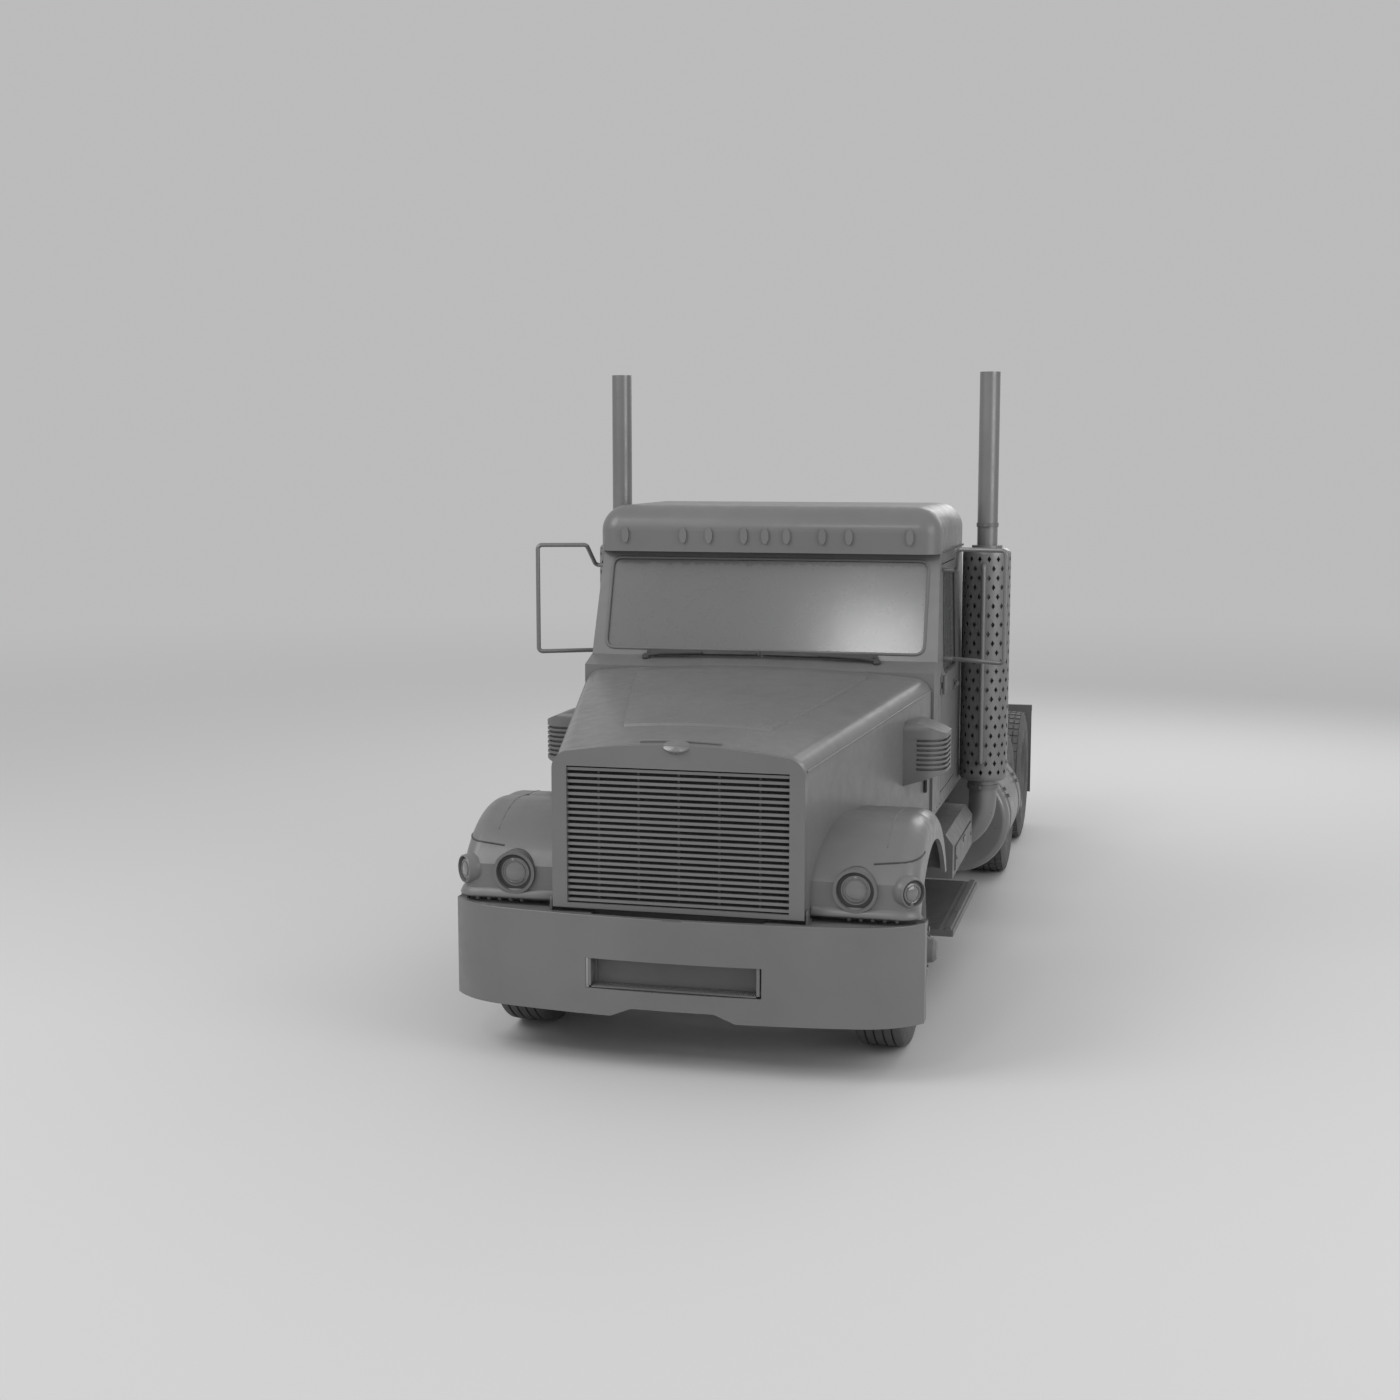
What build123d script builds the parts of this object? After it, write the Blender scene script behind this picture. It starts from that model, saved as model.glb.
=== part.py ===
# Conventional semi truck tractor unit: bonneted day cab, one steering axle, two drive axles.
# The truck faces -Y, +X is its left side, +Z is up, and the origin lies on the ground below
# the middle of its length. Every size is in millimetres.

import os
from math import cos, radians, sin, sqrt

from build123d import *

os.makedirs("parts", exist_ok=True)

# Overall layout
front_overhang = 860  # bumper face to front axle
wheelbase = 5160  # front axle to the middle of the tandem
tandem_spacing = 1320
rear_overhang = 730  # last axle to the end of the frame
overall_length = front_overhang + wheelbase + tandem_spacing / 2 + rear_overhang
front_axle_y = front_overhang - overall_length / 2
drive_axle_ys = [front_axle_y + wheelbase + end * tandem_spacing / 2 for end in (-1, 1)]
frame_end_y = overall_length / 2
sides = {"left": 1, "right": -1}
running_gap = 0.3  # between a shaft and its seat
shut_gap = 7  # round a door
swing_gap = 6  # between moving bodies that pass each other

# Frame
rail_top_z = 1010
rail_height = 265
rail_flange = 90
rail_wall = 10
frame_width = 860
rail_front_y = front_axle_y - 560
rail_bottom_z = rail_top_z - rail_height
rail_x = frame_width / 2
member_width = 90
member_height = 125
member_wall = 9

# Wheels and tyres
tyre_radius = 515
tyre_width = 280
tread_width = 236
bead_radius = 286
shoulder_radius = 492
sidewall_radius = 400
rim_half_width = 120
rim_wall = 9
rim_well_radius = 252
disc_offset = 167.5
disc_wall = 11
hub_radius = 108
stud_circle_radius = 142.9
stud_count = 10
nut_radius = 19
nut_height = 28
hand_hole_radius = 17
hand_hole_circle = 208
drum_radius = 205
drum_length = 150
drum_wall = 18
front_wheel_x = 970
dual_spacing = 335
outer_dual_x = 1060
inner_dual_x = outer_dual_x - dual_spacing
axle_z = tyre_radius

# Steering axle
kingpin_x = 790
kingpin_radius = 22
kingpin_boss_radius = 48
kingpin_boss_height = 90
knuckle_ear_height = 34
thrust_gap = 1
beam_drop = 105
beam_height = 90
beam_width = 100
spring_width = 84
spring_thickness = 58
spring_half_length = 490
spring_camber = 95
spindle_radius = 38
steering_arm_length = 200
steering_arm_thickness = 26
tie_rod_radius = 21
ball_radius = 16

# Drive axles
axle_tube_radius = 64
banjo_radius = 195
drive_spindle_radius = 45
beam_seat_height = 16
trailing_beam_height = 64
trailing_beam_width = 76
trailing_beam_back = 400
trailing_hanger_forward = 470
air_bag_radius = 118
air_bag_offset_y = 285

# Bumper
bumper_half_width = 1235
bumper_bottom_z = 292
bumper_top_z = 800
bumper_plate = 9
bumper_bow = 80
bumper_bow_half = 940
bumper_corner_y = front_axle_y - 600
bumper_end_y = front_axle_y - 520
bumper_flange = 52
bumper_slot_half = 456
bumper_slot_z = (428, 583)
bumper_notch = 45
bumper_notch_half = 215

# Bonnet, a tilting hood with its fenders and grille
hood_front_y = front_axle_y - 700
hood_rear_y = front_axle_y + 1060
hood_front_half = 655
hood_rear_half = 1035
hood_front_top_z = 1675
hood_rear_top_z = 1880
hood_crown = 45
hood_shoulder = 95
hood_front_bottom_z = 820
hood_rear_bottom_z = 1060
hood_wall = 22
hood_pivot_y = front_axle_y - 730
hood_pivot_z = 848
hood_pin_radius = 12
hood_pin_reach = 52
hood_bracket_wall = 12
arch_radius = 588
grille_depth = 62
grille_border = 78
grille_slat_count = 22
grille_slat_depth = 34
grille_slat_height = 15
fender_half_width = 1200
fender_wall = 24
fender_round = 95
fender_top_z = 1258
fender_bottom_z = 826
fender_front_y = front_axle_y - 665
fender_rear_y = front_axle_y + 640
lamp_x = 893
lamp_z = 965
lamp_radius = 112
lamp_bezel = 16
lamp_proud = 16
lamp_depth = 66
corner_lamp_x = 1108
corner_lamp_z = 962
corner_lamp_radius = 88
corner_lamp_angle = 48
air_cleaner_y = front_axle_y + 620
air_cleaner_length = 300
air_cleaner_half_width = 1172
air_cleaner_z = (1270, 1640)

# Cab
cab_half_width = 1050
cab_top_half_width = 1030
cab_wall = 50
cab_front_y = front_axle_y + 1075
cab_rear_y = front_axle_y + 2550
cab_bottom_z = rail_top_z + 6
cab_floor_z = 1050
cab_floor_wall = 40
cowl_z = 1862
windscreen_base = (front_axle_y + 1225, 1912)
windscreen_head = (front_axle_y + 1430, 2530)
cab_eaves_z = 2530
roof_top_z = 2805
roof_half_width = 1042
roof_front_y = front_axle_y + 1325
roof_rear_y = front_axle_y + 2565
roof_edge_radius = 150
roof_corner_radius = 120
roof_wall = 40
glass_wall = 6
windscreen_half = 968
windscreen_z = (1950, 2488)
door_y = (front_axle_y + 1440, front_axle_y + 2170)
door_z = (1105, 2470)
door_hinge_zs = (1260, 1700)
door_hinge_height = 110
door_hinge_knuckle = 15
door_hinge_pin = 8
door_hinge_leaf = 70
door_hinge_wall = 7
door_window_y = (front_axle_y + 1505, front_axle_y + 2105)
door_window_z = (1810, 2415)
door_cut_depth = 90
rear_window_half = 480
rear_window_z = (1960, 2340)

# Exhaust stacks
stack_x = 1205
stack_y = front_axle_y + 2420
stack_radius = 64
stack_top_z = 3625
stack_wall = 4
muffler_radius = 122
guard_radius = 152
guard_wall = 4
guard_round = 34
guard_z = (1035, 2520)
neck_radius = 96
elbow_radius = 88
elbow_bend = 255
elbow_end_z = 640
exhaust_pipe_radius = 58
exhaust_pipe_x = 238
exhaust_port_z = 830

# Sides
tank_x = 985
tank_z = 680
tank_radius = 352
tank_y = (front_axle_y + 2820, front_axle_y + 3850)
box_x = (rail_x, 1160)
box_y = (front_axle_y + 1190, front_axle_y + 2230)
box_z = (640, 900)
step_x = (760, 1210)
step_y = (front_axle_y + 830, front_axle_y + 2130)
step_z = 420
step_wall = 38

# Coupling
plate_top_z = 1200
plate_length = 900
plate_width = 920
plate_wall = 42
coupling_y = front_axle_y + wheelbase
kingpin_bore_radius = 26
throat_half = 190
coupling_pin_radius = 24
coupling_pin_z = 1120

parts = []


def save(builder, name):
    """Label a finished piece and remember it for export."""
    builder.part.label = name
    parts.append(builder.part)


def across(side, x, y, z):
    """Plane through a point with local x pointing outwards from the truck and local y up."""
    return Plane(origin=(side * x, y, z), x_dir=(side, 0, 0), z_dir=(0, -side, 0))


def outward(side, x, y, z):
    """Plane facing out of one side of the truck, with its local x along the truck."""
    return Plane(origin=(side * x, y, z), x_dir=(0, 1, 0), z_dir=(side, 0, 0))


# Frame: two channel rails and the cross members between their webs
with BuildPart() as frame_rails:
    with BuildSketch(Plane.XZ.offset(-rail_front_y)) as channel:
        for side in sides.values():
            with Locations((side * (rail_x - rail_flange / 2), rail_top_z - rail_height / 2)):
                Rectangle(rail_flange, rail_height)
        with Locations(*[(s * (rail_x - rail_wall - rail_flange / 2), rail_top_z - rail_height / 2) for s in (1, -1)]):
            Rectangle(rail_flange, rail_height - 2 * rail_wall, mode=Mode.SUBTRACT)
    extrude(amount=-(frame_end_y - rail_front_y))
save(frame_rails, "frame_rails")

web_gap = frame_width - 2 * rail_wall
cross_member_ys = [
    rail_front_y + 60,
    front_axle_y + 2150,
    front_axle_y + 3200,
    drive_axle_ys[0] - 480,
    coupling_y,
    frame_end_y - 45,
]
with BuildPart() as cross_members:
    for y in cross_member_ys:
        with BuildSketch(Plane.YZ.offset(-web_gap / 2)):
            with Locations((y, rail_top_z - rail_wall - member_height / 2)):
                Rectangle(member_width, member_height)
            with Locations((y + member_wall, rail_top_z - rail_wall - member_height / 2)):
                Rectangle(member_width, member_height - 2 * member_wall, mode=Mode.SUBTRACT)
        extrude(amount=web_gap)
save(cross_members, "cross_members")


# Tyres and wheels
def tyre_profile():
    """Half-section of a truck tyre, local x along the axle and local y from the axle outwards."""
    half = tyre_width / 2
    with BuildSketch() as profile:
        with BuildLine():
            Polyline(
                (-rim_half_width, bead_radius),
                (-half, sidewall_radius),
                (-tread_width / 2 - 4, shoulder_radius),
                (-tread_width / 2 + 14, tyre_radius),
                (tread_width / 2 - 14, tyre_radius),
                (tread_width / 2 + 4, shoulder_radius),
                (half, sidewall_radius),
                (rim_half_width, bead_radius),
                close=True,
            )
        make_face()
    return profile.sketch_local


def rim_profile(toward):
    """Half-section of a wheel: barrel and domed disc. toward is +1 where the disc bulges outwards."""
    face = toward * disc_offset
    with BuildSketch() as profile:
        with BuildLine():
            Polyline(
                (-rim_half_width, bead_radius),
                (-rim_half_width, bead_radius - 8),
                (-rim_half_width + 30, bead_radius - 14),
                (-45, rim_well_radius - rim_wall),
                (45, rim_well_radius - rim_wall),
                (rim_half_width - 30, bead_radius - 14),
                (rim_half_width, bead_radius - 8),
                (rim_half_width, bead_radius),
                (rim_half_width - 30, bead_radius - 4),
                (50, rim_well_radius),
                (-50, rim_well_radius),
                (-rim_half_width + 30, bead_radius - 4),
                close=True,
            )
        make_face()
        with BuildLine():
            Polyline(
                (toward * 44, rim_well_radius - 4),
                (toward * 62, rim_well_radius - 4),
                (face, hub_radius + 66),
                (face, hub_radius),
                (face - toward * disc_wall, hub_radius),
                (face - toward * disc_wall, hub_radius + 60),
                (toward * 44, rim_well_radius - 14),
                close=True,
            )
        make_face()
    return profile.sketch_local


def hub_profile(bore, back, cap_start, cap_length):
    """Half-section of a hub with its brake drum, bored for its spindle and closed by a cap."""
    drum_front = 60
    with BuildSketch() as profile:
        with BuildLine():
            Polyline(
                (disc_offset - disc_wall, hub_radius + 62),
                (disc_offset - disc_wall - 16, hub_radius + 62),
                (drum_front, drum_radius),
                (drum_front - drum_length, drum_radius),
                (drum_front - drum_length, drum_radius - drum_wall),
                (drum_front - 20, drum_radius - drum_wall),
                (drum_front + 10, hub_radius),
                (back, hub_radius - 24),
                (back, bore),
                (cap_start, bore),
                (cap_start, 0),
                (cap_start + cap_length, 0),
                (cap_start + cap_length, 46),
                (cap_start + cap_length - 16, 64),
                (cap_start + 10, 72),
                (cap_start + 10, hub_radius - 10),
                (cap_start - 10, hub_radius),
                (disc_offset - disc_wall, hub_radius),
                close=True,
            )
        make_face()
    return profile.sketch_local


for name, side in sides.items():
    centre = across(side, front_wheel_x, front_axle_y, axle_z)
    axis = Axis(centre.origin, centre.x_dir)
    with BuildPart() as front_tyre:
        with BuildSketch(centre):
            add(tyre_profile())
        revolve(axis=axis)
    save(front_tyre, f"front_tyre_{name}")

    with BuildPart() as front_wheel:
        with BuildSketch(centre):
            add(rim_profile(1))
        revolve(axis=axis)
        with BuildSketch(centre):
            add(hub_profile(spindle_radius + running_gap, -40, disc_offset + 20, 64))
        revolve(axis=axis)
        face = outward(side, front_wheel_x + disc_offset, front_axle_y, axle_z)
        with BuildSketch(face):
            with PolarLocations(stud_circle_radius, stud_count):
                RegularPolygon(nut_radius, 6)
        extrude(amount=nut_height)
        with BuildSketch(face):
            with PolarLocations(hand_hole_circle, stud_count):
                Circle(hand_hole_radius)
        extrude(amount=-100, mode=Mode.SUBTRACT)
    save(front_wheel, f"front_wheel_{name}")

for number, axle_y in enumerate(drive_axle_ys, start=1):
    for name, side in sides.items():
        outer = across(side, outer_dual_x, axle_y, axle_z)
        inner = across(side, inner_dual_x, axle_y, axle_z)
        axis = Axis(outer.origin, outer.x_dir)
        with BuildPart() as dual_tyres:
            for centre in (outer, inner):
                with BuildSketch(centre):
                    add(tyre_profile())
                revolve(axis=axis)
        save(dual_tyres, f"drive_tyres_{number}_{name}")

        with BuildPart() as dual_wheels:
            for centre, toward in ((outer, -1), (inner, 1)):
                with BuildSketch(centre):
                    add(rim_profile(toward))
                revolve(axis=axis)
            with BuildSketch(inner):
                add(hub_profile(drive_spindle_radius + running_gap, -30, disc_offset + 100, 40))
            revolve(axis=axis)
            face = outward(side, inner_dual_x + disc_offset + disc_wall, axle_y, axle_z)
            with BuildSketch(face):
                with PolarLocations(stud_circle_radius, stud_count):
                    RegularPolygon(nut_radius, 6)
            extrude(amount=nut_height)
            with BuildSketch(face.offset(60)):
                with PolarLocations(hand_hole_circle, stud_count):
                    Circle(hand_hole_radius)
            extrude(amount=-200, mode=Mode.SUBTRACT)
        save(dual_wheels, f"drive_wheels_{number}_{name}")

# Front axle: a dropped beam with a bored boss at each end for its kingpin
beam_top_z = axle_z - beam_drop + beam_height / 2
with BuildPart() as front_axle:
    with BuildSketch(Plane.XZ.offset(-front_axle_y + beam_width / 2)) as beam:
        with BuildLine():
            low = axle_z - beam_drop - beam_height / 2
            boss_low = axle_z - kingpin_boss_height / 2
            boss_high = axle_z + kingpin_boss_height / 2
            neck = kingpin_x - kingpin_boss_radius - 8
            Polyline(
                (-kingpin_x, boss_low),
                (-neck, boss_low),
                (-neck + 90, low),
                (neck - 90, low),
                (neck, boss_low),
                (kingpin_x, boss_low),
                (kingpin_x, boss_high),
                (neck, boss_high),
                (neck - 110, beam_top_z),
                (-neck + 110, beam_top_z),
                (-neck, boss_high),
                (-kingpin_x, boss_high),
                close=True,
            )
        make_face()
    extrude(amount=-beam_width)
    for side in sides.values():
        with Locations((side * kingpin_x, front_axle_y, axle_z)):
            Cylinder(kingpin_boss_radius, kingpin_boss_height)
            Cylinder(kingpin_radius + running_gap, kingpin_boss_height + 2, mode=Mode.SUBTRACT)
        with BuildSketch(Plane.XY.offset(axle_z - kingpin_boss_height)):
            with Locations((side * (kingpin_x + 100), front_axle_y)):
                Rectangle(200, beam_width + 20)
            with Locations((side * kingpin_x, front_axle_y)):
                Circle(kingpin_boss_radius, mode=Mode.SUBTRACT)
        extrude(amount=2 * kingpin_boss_height, mode=Mode.SUBTRACT)
save(front_axle, "front_axle")

# Leaf springs: a bowed pack on the beam, with a hanger at each end below the rail
with BuildPart() as leaf_springs:
    for side in sides.values():
        with BuildSketch(Plane.YZ.offset(side * (rail_x - rail_flange / 2) - spring_width / 2)):
            with BuildLine():
                low_z = beam_top_z
                start = (front_axle_y - spring_half_length, low_z + spring_camber)
                end = (front_axle_y + spring_half_length, low_z + spring_camber)
                lower = ThreePointArc(start, (front_axle_y, low_z), end)
                upper = ThreePointArc(
                    (start[0], start[1] + spring_thickness),
                    (front_axle_y, low_z + spring_thickness),
                    (end[0], end[1] + spring_thickness),
                )
                Line(lower @ 0, upper @ 0)
                Line(lower @ 1, upper @ 1)
            make_face()
            for end_y in (start[0], end[0]):
                with BuildLine():
                    Polyline(
                        (end_y - 40, start[1] - 8),
                        (end_y + 40, start[1] - 8),
                        (end_y + 75, rail_bottom_z),
                        (end_y - 75, rail_bottom_z),
                        close=True,
                    )
                make_face()
        extrude(amount=spring_width)
save(leaf_springs, "leaf_springs")

# Steering knuckles: an ear above and below the beam, the spindle, and the arm to the tie rod
ear_z = kingpin_boss_height / 2 + thrust_gap
arm_z = axle_z - ear_z - knuckle_ear_height
for name, side in sides.items():
    with BuildPart() as knuckle:
        for level in (axle_z + ear_z, axle_z - ear_z - knuckle_ear_height):
            with BuildSketch(Plane.XY.offset(level)):
                with Locations((side * kingpin_x, front_axle_y)):
                    Circle(kingpin_boss_radius - 6)
                with Locations((side * (kingpin_x + 55), front_axle_y)):
                    Rectangle(72, 2 * (kingpin_boss_radius - 6))
            extrude(amount=knuckle_ear_height)
        with BuildSketch(Plane.XY.offset(axle_z - ear_z - knuckle_ear_height)):
            with Locations((side * (kingpin_x + 76), front_axle_y)):
                Rectangle(32, 2 * (kingpin_boss_radius - 6))
        extrude(amount=2 * (ear_z + knuckle_ear_height))
        with BuildSketch(Plane.XY.offset(axle_z - ear_z - knuckle_ear_height)):
            with Locations((side * kingpin_x, front_axle_y)):
                Circle(kingpin_radius)
        extrude(amount=2 * (ear_z + knuckle_ear_height))
        spindle_start = kingpin_x + 90
        with BuildSketch(outward(side, spindle_start, front_axle_y, axle_z)):
            Circle(spindle_radius)
        extrude(amount=front_wheel_x + disc_offset + 10 - spindle_start)
        # arm to the tie rod, below the lower ear
        with BuildSketch(Plane.XY.offset(arm_z - steering_arm_thickness)):
            with Locations((side * kingpin_x, front_axle_y + steering_arm_length / 2)):
                Rectangle(44, steering_arm_length)
            with Locations((side * kingpin_x, front_axle_y), (side * kingpin_x, front_axle_y + steering_arm_length)):
                Circle(26)
            with Locations((side * kingpin_x, front_axle_y + steering_arm_length)):
                Circle(ball_radius + running_gap, mode=Mode.SUBTRACT)
        extrude(amount=steering_arm_thickness)
    save(knuckle, f"knuckle_{name}")

tie_rod_z = arm_z - steering_arm_thickness - tie_rod_radius - 4
with BuildPart() as tie_rod:
    with BuildSketch(Plane.YZ.offset(-kingpin_x)):
        with Locations((front_axle_y + steering_arm_length, tie_rod_z)):
            Circle(tie_rod_radius)
    extrude(amount=2 * kingpin_x)
    for side in sides.values():
        with BuildSketch(Plane.XY.offset(tie_rod_z)):
            with Locations((side * kingpin_x, front_axle_y + steering_arm_length)):
                Circle(ball_radius)
        extrude(amount=tie_rod_radius + 4 + steering_arm_thickness)
save(tie_rod, "tie_rod")

# Drive axles: banjo housing, tubes and the spindles that run in the hubs
with BuildPart() as drive_axles:
    for axle_y in drive_axle_ys:
        with Locations((0, axle_y, axle_z)):
            Sphere(banjo_radius)
        drum_back = inner_dual_x + 60 - drum_length - swing_gap
        with BuildSketch(Plane.YZ.offset(-drum_back)):
            with Locations((axle_y, axle_z)):
                Circle(axle_tube_radius)
        extrude(amount=2 * drum_back)
        spindle_end = inner_dual_x + disc_offset + 90
        with BuildSketch(Plane.YZ.offset(-spindle_end)):
            with Locations((axle_y, axle_z)):
                Circle(drive_spindle_radius)
        extrude(amount=2 * spindle_end)
save(drive_axles, "drive_axles")

# Rear suspension: a trailing beam under each axle tube, its hanger and its air spring
with BuildPart() as rear_suspension:
    beam_z = axle_z - axle_tube_radius - beam_seat_height - trailing_beam_height / 2
    for axle_y in drive_axle_ys:
        for side in sides.values():
            x = side * (rail_x - rail_flange / 2)
            hanger_y = axle_y - trailing_hanger_forward
            with BuildSketch(Plane.YZ.offset(x - trailing_beam_width / 2)):
                with BuildLine():
                    Polyline(
                        (hanger_y - 60, rail_bottom_z),
                        (hanger_y - 45, beam_z - 45),
                        (hanger_y + 45, beam_z - 45),
                        (hanger_y + 70, beam_z - trailing_beam_height / 2),
                        (axle_y + trailing_beam_back, beam_z - trailing_beam_height / 2),
                        (axle_y + trailing_beam_back, beam_z + trailing_beam_height / 2),
                        (hanger_y + 70, beam_z + trailing_beam_height / 2),
                        (hanger_y + 60, rail_bottom_z),
                        close=True,
                    )
                make_face()
            extrude(amount=trailing_beam_width)
            with BuildSketch(Plane.XY.offset(beam_z + trailing_beam_height / 2)):
                with Locations((x, axle_y)):
                    Rectangle(trailing_beam_width, 110)
            extrude(amount=beam_seat_height)
            bag_low = beam_z + trailing_beam_height / 2
            with BuildSketch(Plane.XZ.offset(-(axle_y + air_bag_offset_y))):
                with BuildLine():
                    Polyline(
                        (x, bag_low),
                        (x + 80, bag_low),
                        (x + 80, bag_low + 60),
                        (x + air_bag_radius, bag_low + 90),
                        (x + air_bag_radius, rail_bottom_z - 30),
                        (x + 95, rail_bottom_z),
                        (x, rail_bottom_z),
                        close=True,
                    )
                make_face()
            revolve(axis=Axis((x, axle_y + air_bag_offset_y, 0), (0, 0, 1)))
save(rear_suspension, "rear_suspension")

# Power unit: the engine as one plain block on its feet, gearbox and shafts to both axles
engine_y = (front_axle_y - 240, front_axle_y + 960)
engine_half_width = 320
engine_z = (700, 1560)
engine_foot_ys = (front_axle_y - 100, front_axle_y + 760)
with BuildPart() as engine_block:
    with Locations((0, sum(engine_y) / 2, sum(engine_z) / 2)):
        Box(2 * engine_half_width, engine_y[1] - engine_y[0], engine_z[1] - engine_z[0])
    chamfer(engine_block.edges().filter_by(Axis.Y), 60)
    for y in engine_foot_ys:
        with Locations((0, y, rail_top_z + 25)):
            Box(frame_width, 120, 50)
save(engine_block, "engine_block")

gearbox_y = (engine_y[1], front_axle_y + 1900)
gearbox_z = 820
bell_radius = 170
bell_length = 240
gearbox_radius = 145
shaft_radius = 50
with BuildPart() as driveline:
    with BuildSketch(Plane.XZ.offset(-gearbox_y[0])):
        with Locations((0, gearbox_z)):
            Circle(bell_radius)
    with BuildSketch(Plane.XZ.offset(-(gearbox_y[0] + bell_length))):
        with Locations((0, gearbox_z)):
            Circle(gearbox_radius)
    loft()
    with BuildSketch(Plane.XZ.offset(-gearbox_y[0])):
        with Locations((0, gearbox_z)):
            Circle(gearbox_radius - 5)
    extrude(amount=-(gearbox_y[1] - gearbox_y[0]))
    # shaft from the gearbox to the first axle, then from the first axle to the second
    for start, end in (
        ((0, gearbox_y[1] - 20, gearbox_z), (0, drive_axle_ys[0] - banjo_radius, axle_z + 40)),
        ((0, drive_axle_ys[0] + banjo_radius, axle_z + 20), (0, drive_axle_ys[1] - banjo_radius, axle_z + 20)),
    ):
        with BuildLine() as shaft_line:
            Line(start, end)
        with BuildSketch(Plane(origin=start, z_dir=shaft_line.line % 0)):
            Circle(shaft_radius)
        sweep(path=shaft_line.line)
save(driveline, "driveline")

# Radiator in front of the rails
radiator_half_width = 510
radiator_depth = 105
radiator_z = (850, 1500)
with BuildPart() as radiator:
    with Locations((0, rail_front_y - radiator_depth / 2, sum(radiator_z) / 2)):
        Box(2 * radiator_half_width, radiator_depth, radiator_z[1] - radiator_z[0])
        Box(2 * radiator_half_width - 90, radiator_depth + 2, radiator_z[1] - radiator_z[0] - 120, mode=Mode.SUBTRACT)
        Box(2 * radiator_half_width - 90, radiator_depth - 30, radiator_z[1] - radiator_z[0] - 120)
save(radiator, "radiator")


# Bumper: a bowed plate with turned-in edges, a slot, and two brackets to the rails
def bumper_outline(inset):
    """Plan of the bumper from above, closed across the back of its ends."""
    half = bumper_half_width - inset
    front = -overall_length / 2 + inset
    bow_y = front + bumper_bow
    with BuildSketch() as outline:
        with BuildLine():
            bow = ThreePointArc((-bumper_bow_half, bow_y), (0, front), (bumper_bow_half, bow_y))
            right = TangentArc(bow @ 0, (-half, bumper_corner_y), tangent=-(bow % 0))
            left = TangentArc(bow @ 1, (half, bumper_corner_y), tangent=bow % 1)
            Polyline(left @ 1, (half, bumper_end_y), (-half, bumper_end_y), right @ 1)
        make_face()
    return outline.sketch_local


bracket_x = rail_x + 8
with BuildPart() as front_bumper:
    with BuildSketch(Plane.XY.offset(bumper_bottom_z)):
        add(bumper_outline(0))
    extrude(amount=bumper_top_z - bumper_bottom_z)
    with BuildSketch(Plane.XY.offset(bumper_bottom_z + bumper_plate)):
        add(bumper_outline(bumper_plate))
    extrude(amount=bumper_top_z - bumper_bottom_z - 2 * bumper_plate, mode=Mode.SUBTRACT)
    with BuildSketch(Plane.XY.offset(bumper_bottom_z)):
        add(bumper_outline(bumper_flange))
    extrude(amount=bumper_top_z - bumper_bottom_z, mode=Mode.SUBTRACT)
    with BuildSketch(Plane.XZ.offset(overall_length / 2)):
        with Locations((0, sum(bumper_slot_z) / 2)):
            Rectangle(2 * bumper_slot_half, bumper_slot_z[1] - bumper_slot_z[0])
        with BuildLine():
            Polyline(
                (-bumper_notch_half - 110, bumper_bottom_z),
                (-bumper_notch_half, bumper_bottom_z + bumper_notch),
                (bumper_notch_half, bumper_bottom_z + bumper_notch),
                (bumper_notch_half + 110, bumper_bottom_z),
                close=True,
            )
        make_face()
    extrude(amount=-300, mode=Mode.SUBTRACT)
    bracket_front_y = -overall_length / 2 + bumper_bow * (bracket_x / bumper_bow_half) ** 2 + bumper_plate / 2
    for side in sides.values():
        with BuildSketch(Plane.YZ.offset(side * bracket_x - 8)):
            with BuildLine():
                Polyline(
                    (rail_front_y + 120, rail_top_z - 20),
                    (rail_front_y + 5, rail_top_z - 20),
                    (rail_front_y + 5, radiator_z[0] - 30),
                    (bracket_front_y, 740),
                    (bracket_front_y, 440),
                    (rail_front_y + 120, rail_bottom_z),
                    close=True,
                )
            make_face()
        extrude(amount=16)
save(front_bumper, "front_bumper")

# Tilt hinge of the bonnet: a bar across the rail ends, an ear beside each grille column and its pin
hinge_bar_y = (hood_pivot_y + 40, hood_pivot_y + 85)
hinge_bar_z = (768, 810)
hinge_ear_x = hood_front_half + swing_gap
with BuildPart() as hood_hinge:
    with BuildSketch(Plane.YZ.offset(-hinge_ear_x - hood_bracket_wall)):
        with Locations((sum(hinge_bar_y) / 2, sum(hinge_bar_z) / 2)):
            Rectangle(hinge_bar_y[1] - hinge_bar_y[0], hinge_bar_z[1] - hinge_bar_z[0])
    extrude(amount=2 * (hinge_ear_x + hood_bracket_wall))
    for side in sides.values():
        with BuildSketch(Plane.YZ.offset(side * hinge_ear_x)):
            with BuildLine():
                Polyline(
                    (hinge_bar_y[1], hinge_bar_z[0]),
                    (hinge_bar_y[1], hinge_bar_z[1]),
                    (hood_pivot_y + 24, hinge_bar_z[1]),
                    (hood_pivot_y + 24, hood_pivot_z),
                    (hood_pivot_y - 24, hood_pivot_z),
                    (hood_pivot_y - 24, hinge_bar_z[1] - 12),
                    (hinge_bar_y[0], hinge_bar_z[0]),
                    close=True,
                )
            make_face()
            with Locations((hood_pivot_y, hood_pivot_z)):
                Circle(24)
        extrude(amount=side * hood_bracket_wall)
        with BuildSketch(Plane.YZ.offset(side * (hinge_ear_x + hood_bracket_wall))):
            with Locations((hood_pivot_y, hood_pivot_z)):
                Circle(hood_pin_radius)
        extrude(amount=-side * (hood_bracket_wall + swing_gap + hood_pin_reach))
    add(front_bumper.part, mode=Mode.SUBTRACT)
save(hood_hinge, "hood_hinge")


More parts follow.
